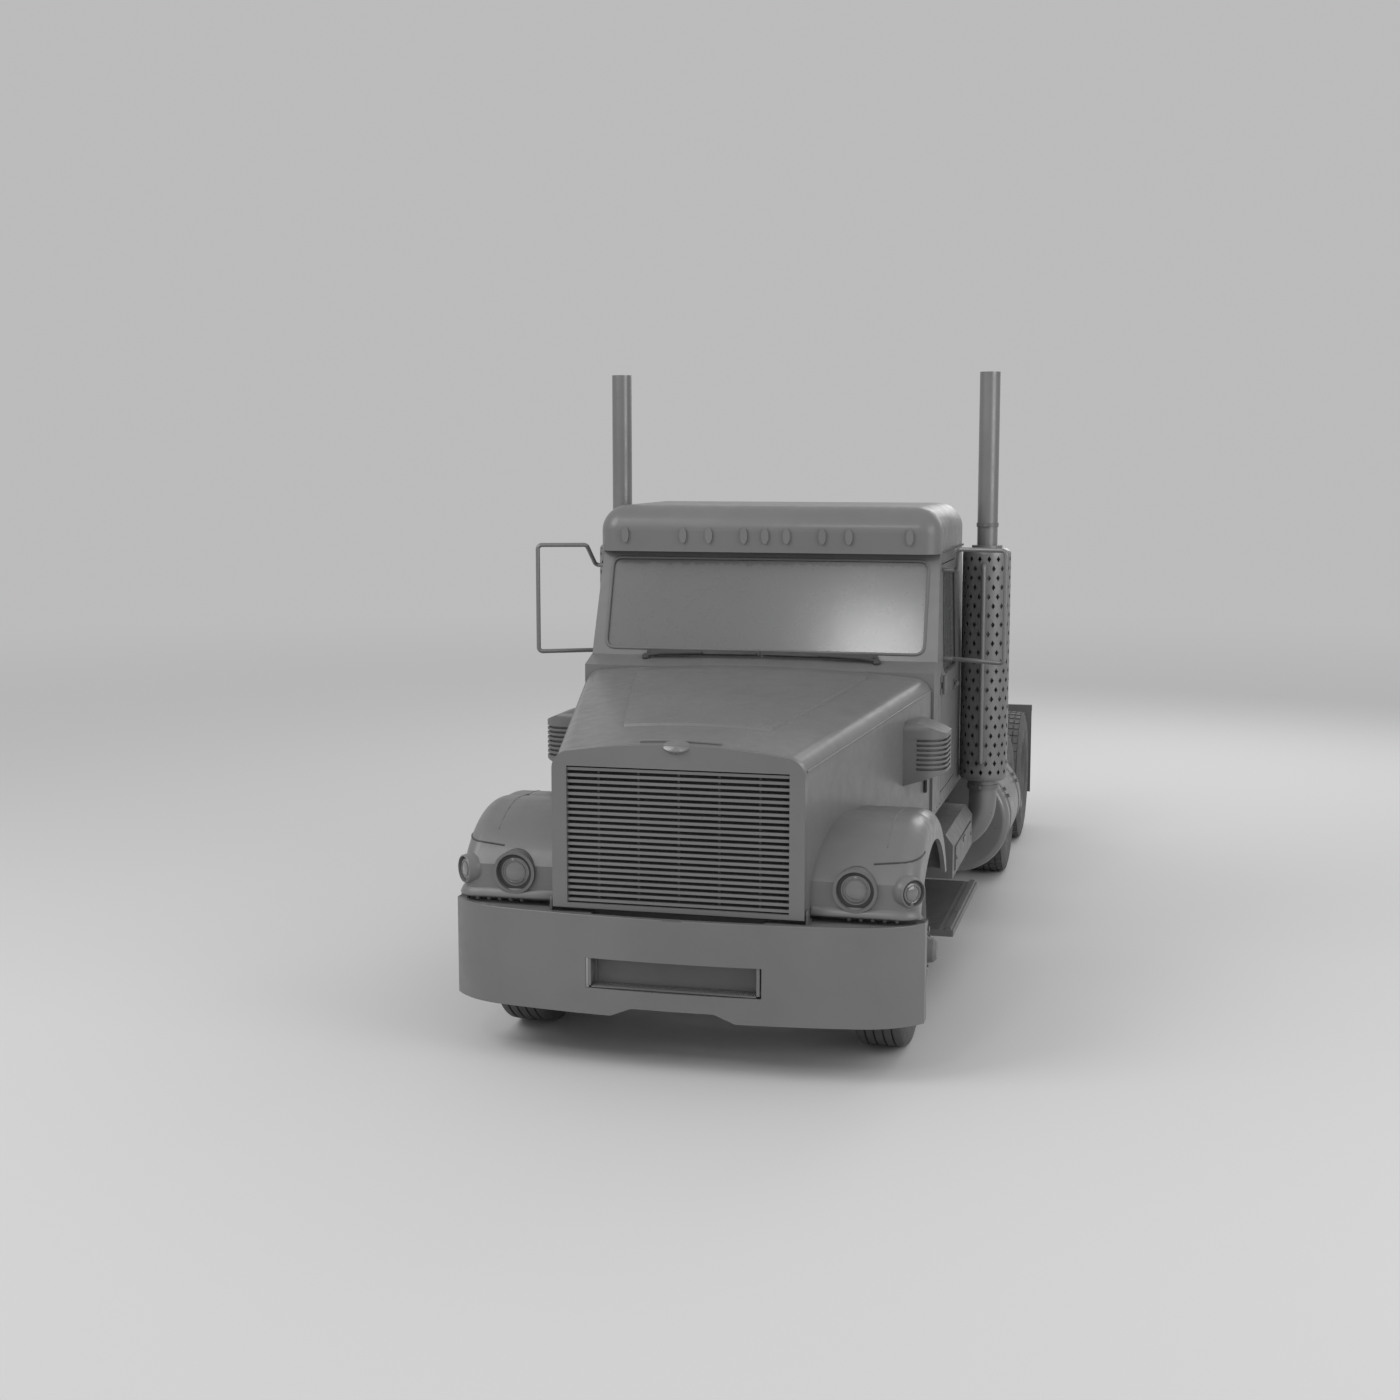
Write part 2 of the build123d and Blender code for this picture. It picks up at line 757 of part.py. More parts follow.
# Bonnet: a lofted shell, flat-topped with round shoulders, wider at the cab
def hood_section(half, top_z, bottom_z):
    """Cross-section of the bonnet, seen from the front."""
    r = hood_shoulder
    side_z = top_z - hood_crown - r
    with BuildSketch() as section:
        with BuildLine():
            crown = ThreePointArc((-half + r, side_z + r), (0, top_z), (half - r, side_z + r))
            skirt = Polyline((half, side_z), (half, bottom_z), (-half, bottom_z), (-half, side_z))
            RadiusArc(crown @ 1, skirt @ 0, r)
            RadiusArc(skirt @ 1, crown @ 0, r)
        make_face()
    return section.sketch_local


def hood_volume(inset):
    """Loft of the bonnet between its front and rear sections, smaller by inset all round."""
    with BuildPart() as volume:
        with BuildSketch(Plane.XZ.offset(-hood_front_y)):
            add(hood_section(hood_front_half - inset, hood_front_top_z - inset, hood_front_bottom_z))
        with BuildSketch(Plane.XZ.offset(-hood_rear_y)):
            add(hood_section(hood_rear_half - inset, hood_rear_top_z - inset, hood_rear_bottom_z))
        loft(ruled=True)
    return volume.part

with BuildPart() as wheel_arches:
    with BuildSketch(Plane.YZ.offset(-fender_half_width - 50)):
        with Locations((front_axle_y, axle_z)):
            Circle(arch_radius)
    extrude(amount=2 * fender_half_width + 100)

with BuildPart() as hood_shell:
    add(hood_volume(0))
    add(hood_volume(hood_wall), mode=Mode.SUBTRACT)
    add(wheel_arches.part, mode=Mode.SUBTRACT)
save(hood_shell, "hood_shell")

# Grille: a surround on the front of the bonnet, and its slats
grille_front_y = hood_front_y - grille_depth
with BuildPart() as grille_surround:
    with BuildSketch(Plane.XZ.offset(-hood_front_y)):
        add(hood_section(hood_front_half, hood_front_top_z, hood_front_bottom_z))
    extrude(amount=grille_depth)
    with BuildSketch(Plane.XZ.offset(-hood_front_y)):
        slat_half = hood_front_half - grille_border
        slat_z = (hood_front_bottom_z + 24, hood_front_top_z - hood_crown - grille_border)
        with Locations((0, sum(slat_z) / 2)):
            Rectangle(2 * slat_half, slat_z[1] - slat_z[0])
    extrude(amount=grille_depth, mode=Mode.SUBTRACT)
    for side in sides.values():
        with BuildSketch(Plane.YZ.offset(side * hood_front_half)):
            with Locations((hood_pivot_y, hood_pivot_z)):
                Circle(hood_pin_radius + running_gap)
        extrude(amount=-side * (hood_pin_reach + 1), mode=Mode.SUBTRACT)
save(grille_surround, "grille_surround")

slat_pitch = (slat_z[1] - slat_z[0]) / grille_slat_count
with BuildPart() as grille_slats:
    with BuildSketch(Plane.YZ.offset(-slat_half)):
        for row in range(grille_slat_count):
            with Locations((grille_front_y + 30, slat_z[0] + (row + 0.5) * slat_pitch)):
                Rectangle(grille_slat_depth, grille_slat_height)
    extrude(amount=2 * slat_half)
save(grille_slats, "grille_slats")

# Fenders: a hollow wing over each front wheel, open below and at the arch, cut to the bonnet's side
def fender_volume(side, inset):
    """Outer form of one fender, smaller by inset at the front, top, rear and outer side."""
    z0 = fender_bottom_z - (1 if inset else 0)
    front = fender_front_y + inset
    rear = fender_rear_y - inset
    with BuildPart() as volume:
        with BuildSketch(Plane.YZ.offset(side * 560)):
            with BuildLine():
                face = Line((front, z0), (front + 8, 1000))
                nose = ThreePointArc(face @ 1, (front_axle_y - 470 + inset * 0.7, 1190 - inset * 0.7), (front_axle_y - 60, fender_top_z - inset))
                tail = ThreePointArc(nose @ 1, (front_axle_y + 430 - inset * 0.7, 1120 - inset * 0.7), (rear, 850 - inset * 0.5))
                Polyline(tail @ 1, (rear, z0), face @ 0)
            make_face()
        extrude(amount=side * (fender_half_width - inset - 560))
        outer = side * (fender_half_width - inset)
        rim = volume.edges().filter_by_position(Axis.X, outer - 1, outer + 1)
        fillet(rim.filter_by_position(Axis.Z, fender_bottom_z + 20, 2000), fender_round - inset)
    return volume.part


with BuildPart() as fenders:
    for side in sides.values():
        add(fender_volume(side, 0))
        add(fender_volume(side, fender_wall), mode=Mode.SUBTRACT)
        with BuildSketch(Plane.XZ.offset(-fender_front_y + 20)):
            with Locations((side * lamp_x, lamp_z)):
                Circle(lamp_radius)
        extrude(amount=-lamp_depth - 20, mode=Mode.SUBTRACT)
    add(wheel_arches.part, mode=Mode.SUBTRACT)
    add(hood_volume(0), mode=Mode.SUBTRACT)
save(fenders, "fenders")

# Headlamps: a deep bezel in a hole through each fender's front wall, and its lens
with BuildPart() as headlamps:
    for side in sides.values():
        with BuildSketch(Plane.XZ.offset(-(fender_front_y - lamp_proud))):
            with Locations((side * lamp_x, lamp_z)):
                Circle(lamp_radius)
                Circle(lamp_radius - lamp_bezel, mode=Mode.SUBTRACT)
        extrude(amount=-lamp_depth)
        with BuildSketch(Plane.XZ.offset(-(fender_front_y - lamp_proud + 30))):
            with Locations((side * lamp_x, lamp_z)):
                Circle(lamp_radius - lamp_bezel)
        extrude(amount=-14)
save(headlamps, "headlamps")

# Air cleaners: a rounded intake pod on each side of the bonnet
with BuildPart() as air_cleaners:
    for side in sides.values():
        with BuildSketch(Plane.XY.offset(air_cleaner_z[0])):
            with Locations((side * (air_cleaner_half_width - 170), air_cleaner_y + air_cleaner_length / 2)):
                Rectangle(340, air_cleaner_length)
        extrude(amount=air_cleaner_z[1] - air_cleaner_z[0])
    fillet(air_cleaners.edges().filter_by(Axis.Z), 70)
    add(hood_volume(0), mode=Mode.SUBTRACT)
save(air_cleaners, "air_cleaners")


# Cab: a hollow shell with its windows and door openings cut through the walls
def cab_volume(inset, bottom_z):
    """Closed volume of the cab below the eaves, smaller by inset at every side wall."""
    slope = (windscreen_head[0] - windscreen_base[0]) / (windscreen_head[1] - windscreen_base[1])
    rake = inset * sqrt(1 + slope**2)
    half = cab_half_width - inset
    top_half = cab_top_half_width - inset
    with BuildPart() as volume:
        with BuildSketch(Plane.YZ.offset(-half)):
            with BuildLine():
                Polyline(
                    (cab_front_y + inset, bottom_z),
                    (cab_front_y + inset, cowl_z - inset),
                    (windscreen_base[0] + rake, windscreen_base[1] - inset),
                    (windscreen_head[0] + rake, windscreen_head[1]),
                    (cab_rear_y - inset, windscreen_head[1]),
                    (cab_rear_y - inset, bottom_z),
                    close=True,
                )
            make_face()
        extrude(amount=2 * half)
        with BuildSketch(Plane.XZ.offset(-cab_front_y)):
            with BuildLine():
                Polyline(
                    (-half, bottom_z),
                    (-half, windscreen_base[1]),
                    (-top_half, cab_eaves_z),
                    (top_half, cab_eaves_z),
                    (half, windscreen_base[1]),
                    (half, bottom_z),
                    close=True,
                )
            make_face()
        extrude(amount=-(cab_rear_y - cab_front_y), mode=Mode.INTERSECT)
    return volume.part


def door_outline(gap):
    """Side view of a door: square at the foot, leaning with the windscreen pillar at the head."""
    y0, y1 = door_y[0] + gap, door_y[1] - gap
    z0, z1 = door_z[0] + gap, door_z[1] - gap
    with BuildSketch() as outline:
        with BuildLine():
            Polyline((y0, z0), (y1, z0), (y1, z1), (y0 + 60, z1), (y0, windscreen_base[1] + 120), close=True)
        make_face()
    return outline.sketch_local


def door_window_outline():
    """Side view of the glazed opening in a door."""
    y0, y1 = door_window_y
    z0, z1 = door_window_z
    with BuildSketch() as outline:
        with BuildLine():
            Polyline((y0, z0 + 40), (y0 + 120, z0), (y1, z0), (y1, z1), (y0 + 60, z1), (y0, z0 + 260), close=True)
        make_face()
    return outline.sketch_local


cab_outer = cab_volume(0, cab_bottom_z)
cab_inner = cab_volume(cab_wall, cab_floor_z + cab_floor_wall)

with BuildPart() as cab_under:
    add(cab_volume(cab_wall, cab_bottom_z - 1))
    with Locations((0, 0, cab_floor_z + 2000)):
        Box(4000, 20000, 4000, mode=Mode.SUBTRACT)

with BuildPart() as windscreen_cut:
    with BuildSketch(Plane.XZ.offset(-(cab_front_y - 10))):
        with Locations((0, sum(windscreen_z) / 2)):
            RectangleRounded(2 * windscreen_half, windscreen_z[1] - windscreen_z[0], 60)
    extrude(amount=-600)

with BuildPart() as rear_window_cut:
    with BuildSketch(Plane.XZ.offset(-(cab_rear_y + 10))):
        with Locations((0, sum(rear_window_z) / 2)):
            RectangleRounded(2 * rear_window_half, rear_window_z[1] - rear_window_z[0], 60)
    extrude(amount=200)

with BuildPart() as cab_shell:
    add(cab_outer)
    add(cab_inner, mode=Mode.SUBTRACT)
    add(cab_under.part, mode=Mode.SUBTRACT)
    add(windscreen_cut.part, mode=Mode.SUBTRACT)
    add(rear_window_cut.part, mode=Mode.SUBTRACT)
    for side in sides.values():
        with BuildSketch(Plane.YZ.offset(side * (cab_half_width + 10))):
            add(door_outline(0))
        extrude(amount=-side * door_cut_depth, mode=Mode.SUBTRACT)
save(cab_shell, "cab_shell")

# Cab mounts: rubber blocks between the rails and the cab floor
mount_ys = (cab_front_y + 140, cab_rear_y - 140)
with BuildPart() as cab_mounts:
    for side in sides.values():
        for y in mount_ys:
            with BuildSketch(Plane.XY.offset(rail_top_z)):
                with Locations((side * (rail_x - rail_flange / 2), y)):
                    Circle(38)
            extrude(amount=cab_floor_z - rail_top_z)
save(cab_mounts, "cab_mounts")


def roof_volume(inset):
    """Rounded roof cap above the eaves, smaller by inset all round."""
    length = roof_rear_y - roof_front_y
    with BuildPart() as volume:
        with BuildSketch(Plane.XY.offset(cab_eaves_z)):
            with Locations((0, (roof_front_y + roof_rear_y) / 2)):
                RectangleRounded(2 * (roof_half_width - inset), length - 2 * inset, roof_corner_radius - inset)
        extrude(amount=roof_top_z - inset - cab_eaves_z)
        fillet(volume.edges().group_by(Axis.Z)[-1], roof_edge_radius - inset)
    return volume.part


with BuildPart() as cab_roof:
    add(roof_volume(0))
    add(roof_volume(roof_wall), mode=Mode.SUBTRACT)
save(cab_roof, "cab_roof")


def raked_sheet(depth):
    """Thin slab parallel to the windscreen, depth behind the cab's front surface."""
    slope = (windscreen_head[0] - windscreen_base[0]) / (windscreen_head[1] - windscreen_base[1])
    rake = sqrt(1 + slope**2)
    y0, z0 = windscreen_base
    y1, z1 = windscreen_head
    with BuildPart() as sheet:
        with BuildSketch(Plane.YZ.offset(-windscreen_half)):
            with BuildLine():
                Polyline(
                    (y0 + depth * rake, z0),
                    (y1 + depth * rake, z1),
                    (y1 + (depth + glass_wall) * rake, z1),
                    (y0 + (depth + glass_wall) * rake, z0),
                    close=True,
                )
            make_face()
        extrude(amount=2 * windscreen_half)
    return sheet.part


with BuildPart() as windscreen:
    add(raked_sheet(8))
    add(windscreen_cut.part, mode=Mode.INTERSECT)
save(windscreen, "windscreen")

with BuildPart() as rear_window:
    with BuildSketch(Plane.XZ.offset(-(cab_rear_y - 8))):
        with Locations((0, sum(rear_window_z) / 2)):
            RectangleRounded(2 * rear_window_half, rear_window_z[1] - rear_window_z[0], 60)
    extrude(amount=glass_wall)
save(rear_window, "rear_window")

# Doors: cut from the same wall as the cab, with glass and a mirror hoop on each
mirror_y = front_axle_y + 1320
mirror_x = 1425
mirror_z = (1905, 2560)
mirror_tube = 13
hinge_x = cab_half_width + door_hinge_knuckle
hinge_y = door_y[0]
knuckle_height = door_hinge_height / 3
with BuildPart() as door_hinges:
    for side in sides.values():
        for z in door_hinge_zs:
            for level in (z, z + 2 * knuckle_height):
                with BuildSketch(Plane.XY.offset(level)):
                    with Locations((side * hinge_x, hinge_y)):
                        Circle(door_hinge_knuckle)
                    with Locations((side * (cab_half_width + door_hinge_wall / 2), hinge_y - door_hinge_leaf / 2)):
                        Rectangle(door_hinge_wall, door_hinge_leaf)
                extrude(amount=knuckle_height)
            with BuildSketch(Plane.XY.offset(z)):
                with Locations((side * hinge_x, hinge_y)):
                    Circle(door_hinge_pin)
            extrude(amount=door_hinge_height)
save(door_hinges, "door_hinges")

for name, side in sides.items():
    with BuildPart() as door:
        add(cab_outer)
        add(cab_inner, mode=Mode.SUBTRACT)
        with BuildSketch(Plane.YZ.offset(side * (cab_half_width + 10))):
            add(door_outline(shut_gap))
        extrude(amount=-side * door_cut_depth, mode=Mode.INTERSECT)
        with BuildSketch(Plane.YZ.offset(side * (cab_half_width + 10))):
            add(door_window_outline())
        extrude(amount=-side * door_cut_depth, mode=Mode.SUBTRACT)
        for z in door_hinge_zs:
            with BuildSketch(Plane.XY.offset(z + knuckle_height + running_gap)):
                with Locations((side * hinge_x, hinge_y)):
                    Circle(door_hinge_knuckle)
                with Locations((side * (cab_half_width + door_hinge_wall / 2), hinge_y + door_hinge_leaf / 2)):
                    Rectangle(door_hinge_wall, door_hinge_leaf)
                with Locations((side * hinge_x, hinge_y)):
                    Circle(door_hinge_pin + running_gap, mode=Mode.SUBTRACT)
            extrude(amount=knuckle_height - 2 * running_gap)
    save(door, f"door_{name}")

    with BuildPart() as door_glass:
        add(cab_outer)
        with BuildSketch(Plane.YZ):
            add(door_window_outline())
        extrude(amount=side * (cab_half_width + 10), mode=Mode.INTERSECT)
        add(Pos(-side * 18, 0, 0) * cab_outer, mode=Mode.INTERSECT)
        add(Pos(-side * (18 + glass_wall), 0, 0) * cab_outer, mode=Mode.SUBTRACT)
    save(door_glass, f"door_glass_{name}")

    with BuildPart() as mirror_hoop:
        foot_y = door_y[0] + 55
        with BuildLine() as hoop_path:
            FilletPolyline(
                (side * (cab_half_width + running_gap), foot_y, mirror_z[0]),
                (side * (cab_half_width + 60), foot_y, mirror_z[0]),
                (side * mirror_x, mirror_y, mirror_z[0]),
                (side * mirror_x, mirror_y, mirror_z[1]),
                (side * (cab_half_width + 90), mirror_y + 90, mirror_z[1]),
                (side * (cab_half_width + 70), foot_y + 40, mirror_z[1] - 130),
                (side * (cab_top_half_width + 5), foot_y + 40, mirror_z[1] - 130),
                radius=26,
            )
        with BuildSketch(Plane(origin=hoop_path.line @ 0, z_dir=hoop_path.line % 0)):
            Circle(mirror_tube)
        sweep(path=hoop_path.line)
    save(mirror_hoop, f"mirror_hoop_{name}")

# Seats, dashboard and steering column
with BuildPart() as seats:
    for side in sides.values():
        floor_z = cab_floor_z + cab_floor_wall
        with Locations((side * 480, cab_rear_y - 480, floor_z + 150)):
            Box(380, 380, 300)
        with Locations((side * 480, cab_rear_y - 470, floor_z + 370)):
            Box(520, 520, 140)
        with Locations((side * 480, cab_rear_y - 250, floor_z + 720)):
            Box(500, 130, 700)
save(seats, "seats")

with BuildPart() as dashboard:
    with BuildSketch(Plane.YZ.offset(-cab_half_width + cab_wall)):
        with BuildLine():
            y0 = cab_front_y + cab_wall
            Polyline((y0, 1480), (y0 + 150, 1480), (y0 + 260, 1640), (y0 + 230, 1760), (y0, cowl_z - cab_wall - 12), close=True)
        make_face()
    extrude(amount=2 * (cab_half_width - cab_wall))
save(dashboard, "dashboard")

column_x = 480
column_angle = 42
column_length = 300
column_dir = (0, cos(radians(column_angle)), sin(radians(column_angle)))
column_plane = Plane(origin=(column_x, cab_front_y + cab_wall + 180, 1600), x_dir=(1, 0, 0), z_dir=column_dir)
with BuildPart() as steering_column:
    with BuildSketch(column_plane):
        Circle(34)
    extrude(amount=column_length)
    add(dashboard.part, mode=Mode.SUBTRACT)
save(steering_column, "steering_column")

wheel_plane = column_plane.offset(column_length + running_gap)
with BuildPart() as steering_wheel:
    with BuildSketch(Plane(origin=wheel_plane.origin, x_dir=wheel_plane.x_dir, z_dir=-wheel_plane.y_dir)):
        with Locations((225, 22)):
            Circle(15)
        with Locations((30, 12)):
            Rectangle(60, 24)
    revolve(axis=Axis(wheel_plane.origin, wheel_plane.z_dir))
    with BuildSketch(wheel_plane.offset(8)):
        with PolarLocations(130, 3, start_angle=90):
            Rectangle(190, 36)
    extrude(amount=14)
save(steering_wheel, "steering_wheel")

# Fuel tanks, step boxes and running boards, hung from the rails
with BuildPart() as fuel_tanks:
    for side in sides.values():
        with BuildSketch(Plane.XZ.offset(-tank_y[0])):
            with Locations((side * tank_x, tank_z)):
                Circle(tank_radius)
        body = extrude(amount=-(tank_y[1] - tank_y[0]))
        fillet(body.edges().filter_by(GeomType.CIRCLE), 40)
        for y in (tank_y[0] + 200, tank_y[1] - 200):
            with BuildSketch(Plane.XZ.offset(-(y - 30))):
                with Locations((side * (rail_x + (tank_x - rail_x) / 2), rail_bottom_z + 60)):
                    Rectangle(tank_x - rail_x, 120)
            extrude(amount=-60)
save(fuel_tanks, "fuel_tanks")

with BuildPart() as step_boxes:
    for side in sides.values():
        with BuildSketch(Plane.XZ.offset(-box_y[0])):
            with BuildLine():
                Polyline(
                    (side * box_x[0], rail_bottom_z + 20),
                    (side * (box_x[0] + 150), box_z[0]),
                    (side * box_x[1], box_z[0]),
                    (side * box_x[1], box_z[1] - 60),
                    (side * (box_x[1] - 45), box_z[1]),
                    (side * box_x[0], box_z[1]),
                    close=True,
                )
            make_face()
        extrude(amount=-(box_y[1] - box_y[0]))
save(step_boxes, "step_boxes")

with BuildPart() as running_boards:
    for side in sides.values():
        with BuildSketch(Plane.XY.offset(step_z - step_wall)):
            with Locations((side * sum(step_x) / 2, sum(step_y) / 2)):
                Rectangle(step_x[1] - step_x[0], step_y[1] - step_y[0])
        extrude(amount=step_wall)
        # a leg up to the step box, and a front bracket up to the rail
        with BuildSketch(Plane.XY.offset(step_z)):
            with Locations((side * (step_x[0] + 40), box_y[0] + 200), (side * (step_x[0] + 40), step_y[1] - 60)):
                Rectangle(60, 40)
        extrude(amount=box_z[0] - step_z)
        with BuildSketch(Plane.XZ.offset(-(step_y[0] + 120))):
            with BuildLine():
                Polyline(
                    (side * rail_x, rail_bottom_z + 150),
                    (side * rail_x, rail_bottom_z + 40),
                    (side * step_x[0], step_z - step_wall),
                    (side * (step_x[0] + 60), step_z - step_wall),
                    (side * (step_x[0] + 60), step_z),
                    close=True,
                )
            make_face()
        extrude(amount=-40)
save(running_boards, "running_boards")

# Exhaust: stack, muffler and elbow on each side, and the guard round the muffler
with BuildPart() as exhaust_stacks:
    for side in sides.values():
        with BuildSketch(Plane.XZ.offset(-stack_y)):
            with BuildLine():
                x = side * stack_x
                Polyline(
                    (x, guard_z[0] - 60),
                    (x + neck_radius, guard_z[0] - 60),
                    (x + neck_radius, guard_z[0] + 40),
                    (x + muffler_radius, guard_z[0] + 90),
                    (x + muffler_radius, guard_z[1] - 90),
                    (x + neck_radius, guard_z[1] - 40),
                    (x + neck_radius, guard_z[1] + 20),
                    (x + stack_radius, guard_z[1] + 20),
                    (x + stack_radius, stack_top_z),
                    (x, stack_top_z),
                    close=True,
                )
            make_face()
        revolve(axis=Axis((x, stack_y, 0), (0, 0, 1)))
        with BuildSketch(Plane.XY.offset(guard_z[1] + 60)):
            with Locations((x, stack_y)):
                Circle(stack_radius - stack_wall)
        extrude(amount=stack_top_z - guard_z[1], mode=Mode.SUBTRACT)
save(exhaust_stacks, "exhaust_stacks")

# Exhaust pipes: an elbow in under the frame from each stack, and the pipe on from it to the engine
with BuildPart() as exhaust_pipes:
    for side in sides.values():
        x = side * stack_x
        elbow_top = (x, stack_y, guard_z[0] - 60)
        with BuildLine() as elbow_run:
            FilletPolyline(
                elbow_top,
                (x, stack_y, elbow_end_z),
                (x - side * (elbow_bend + 80), stack_y, elbow_end_z),
                radius=elbow_bend,
            )
        with BuildSketch(Plane(origin=elbow_top, z_dir=(0, 0, -1))):
            Circle(elbow_radius)
        sweep(path=elbow_run.line)
        with BuildLine() as pipe_run:
            FilletPolyline(
                (x - side * (elbow_bend + 60), stack_y, elbow_end_z),
                (side * exhaust_pipe_x, stack_y, elbow_end_z),
                (side * exhaust_pipe_x, stack_y - 700, elbow_end_z),
                (side * exhaust_pipe_x, engine_y[1] + 200, exhaust_port_z),
                (side * exhaust_pipe_x, engine_y[1], exhaust_port_z),
                radius=110,
            )
        with BuildSketch(Plane(origin=pipe_run.line @ 0, z_dir=pipe_run.line % 0)):
            Circle(exhaust_pipe_radius)
        sweep(path=pipe_run.line)
save(exhaust_pipes, "exhaust_pipes")

def guard_volume(side, inset):
    """Round-ended drum of a stack guard, smaller by inset all round."""
    with BuildPart() as volume:
        with BuildSketch(Plane.XY.offset(guard_z[0] + inset)):
            with Locations((side * stack_x, stack_y)):
                Circle(guard_radius - inset)
        extrude(amount=guard_z[1] - guard_z[0] - 2 * inset)
        fillet(volume.edges(), guard_round - inset)
    return volume.part


with BuildPart() as exhaust_guards:
    for side in sides.values():
        add(guard_volume(side, 0))
        add(guard_volume(side, guard_wall), mode=Mode.SUBTRACT)
        with BuildSketch(Plane.XY.offset(guard_z[0])):
            with Locations((side * stack_x, stack_y)):
                Circle(neck_radius)
        extrude(amount=guard_z[1] - guard_z[0], mode=Mode.SUBTRACT)
save(exhaust_guards, "exhaust_guards")

# Marker lamps on the brow of the roof
marker_xs = (-865, -505, -345, -130, 0, 130, 345, 505, 865)
with BuildPart() as marker_lamps:
    for x in marker_xs:
        with BuildSketch(Plane.XZ.offset(-roof_front_y)):
            with Locations((x, 2630)):
                Ellipse(22, 48)
        extrude(amount=14)
save(marker_lamps, "marker_lamps")

# Coupling: stand on the rails, and the plate that rocks on it
with BuildPart() as coupling_stand:
    for side in sides.values():
        with BuildSketch(Plane.YZ.offset(side * 400 - 20)):
            with BuildLine():
                Polyline(
                    (coupling_y - 300, rail_top_z),
                    (coupling_y + 300, rail_top_z),
                    (coupling_y + 38, coupling_pin_z + 20),
                    (coupling_y - 38, coupling_pin_z + 20),
                    close=True,
                )
            make_face()
        extrude(amount=40)
    with BuildSketch(Plane.YZ.offset(-440)):
        with Locations((coupling_y, coupling_pin_z)):
            Circle(coupling_pin_radius)
    extrude(amount=880)
save(coupling_stand, "coupling_stand")

with BuildPart() as coupling_plate:
    with BuildSketch(Plane.XY.offset(plate_top_z - plate_wall)):
        with Locations((0, coupling_y + 20)):
            Rectangle(plate_width, plate_length)
    extrude(amount=plate_wall)
    for side in sides.values():
        with BuildSketch(Plane.YZ.offset(side * 340 - 12)):
            with Locations((coupling_y, (coupling_pin_z + plate_top_z - plate_wall) / 2)):
                Rectangle(120, plate_top_z - plate_wall - coupling_pin_z)
            with Locations((coupling_y, coupling_pin_z)):
                Circle(50)
                Circle(coupling_pin_radius + running_gap, mode=Mode.SUBTRACT)
        extrude(amount=24)
    # the king pin's seat, and the throat that flares to the rear
    with BuildSketch(Plane.XY.offset(plate_top_z - plate_wall)):
        with Locations((0, coupling_y)):
            Circle(kingpin_bore_radius)
        with BuildLine():
            rear = coupling_y + 20 + plate_length / 2
            Polyline(
                (-kingpin_bore_radius, coupling_y),
                (kingpin_bore_radius, coupling_y),
                (kingpin_bore_radius + 14, coupling_y + 140),
                (throat_half, rear),
                (-throat_half, rear),
                (-kingpin_bore_radius - 14, coupling_y + 140),
                close=True,
            )
        make_face()
    extrude(amount=plate_wall, mode=Mode.SUBTRACT)
save(coupling_plate, "coupling_plate")

# Tail: lamps on the last cross member, flaps behind the tyres
with BuildPart() as mud_flaps:
    for side in sides.values():
        with BuildSketch(Plane.XZ.offset(-(frame_end_y - 70))):
            with Locations((side * 900, 610)):
                Rectangle(600, 700)
        extrude(amount=-10)
        with BuildSketch(Plane.XZ.offset(-(frame_end_y - 70))):
            with Locations((side * (rail_x + 385), 975)):
                Rectangle(770, 50)
        extrude(amount=-40)
save(mud_flaps, "mud_flaps")

for piece in parts:
    export_step(piece, f"parts/{piece.label}.step")
    print(f"{piece.label:24s} solids {len(piece.solids()):2d}  volume {piece.volume / 1e9:.4f} m3")
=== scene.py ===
"""Looks of a bonneted semi truck tractor unit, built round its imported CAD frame.

The truck faces -Y, its left side is +X, the ground is z = 0, and every length is in metres.
"""

from __future__ import annotations

import logging
import math
from dataclasses import dataclass
from enum import Enum
from typing import Iterable, Mapping, Sequence

import bmesh
import bpy
from mathutils import Euler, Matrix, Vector
from mathutils.bvhtree import BVHTree

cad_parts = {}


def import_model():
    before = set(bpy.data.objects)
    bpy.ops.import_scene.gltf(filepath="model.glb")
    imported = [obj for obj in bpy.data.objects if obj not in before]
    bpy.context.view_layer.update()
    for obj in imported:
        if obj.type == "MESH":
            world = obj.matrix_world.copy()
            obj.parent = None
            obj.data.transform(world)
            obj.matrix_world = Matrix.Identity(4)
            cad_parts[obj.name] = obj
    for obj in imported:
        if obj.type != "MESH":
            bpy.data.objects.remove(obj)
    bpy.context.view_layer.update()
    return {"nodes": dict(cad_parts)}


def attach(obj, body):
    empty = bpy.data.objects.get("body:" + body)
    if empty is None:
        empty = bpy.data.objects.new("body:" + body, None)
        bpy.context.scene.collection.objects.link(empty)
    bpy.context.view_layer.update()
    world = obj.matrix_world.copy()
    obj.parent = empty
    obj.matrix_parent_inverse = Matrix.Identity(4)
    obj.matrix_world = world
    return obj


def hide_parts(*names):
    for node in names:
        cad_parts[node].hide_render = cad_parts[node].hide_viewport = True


LOG = logging.getLogger("tractor_unit")
AHEAD = (0, -1, 0)
UP = (0, 0, 1)
DOWN = (0, 0, -1)
TURNED_OUT = (0, math.pi / 2, 0)
TURNED_BACK = (math.pi / 2, 0, 0)
WELD = 1e-6
SHARP = 0.6
STACK = (1.205, -0.425)

Point = Sequence[float]
Key = int | str
Socket = bpy.types.NodeSocket


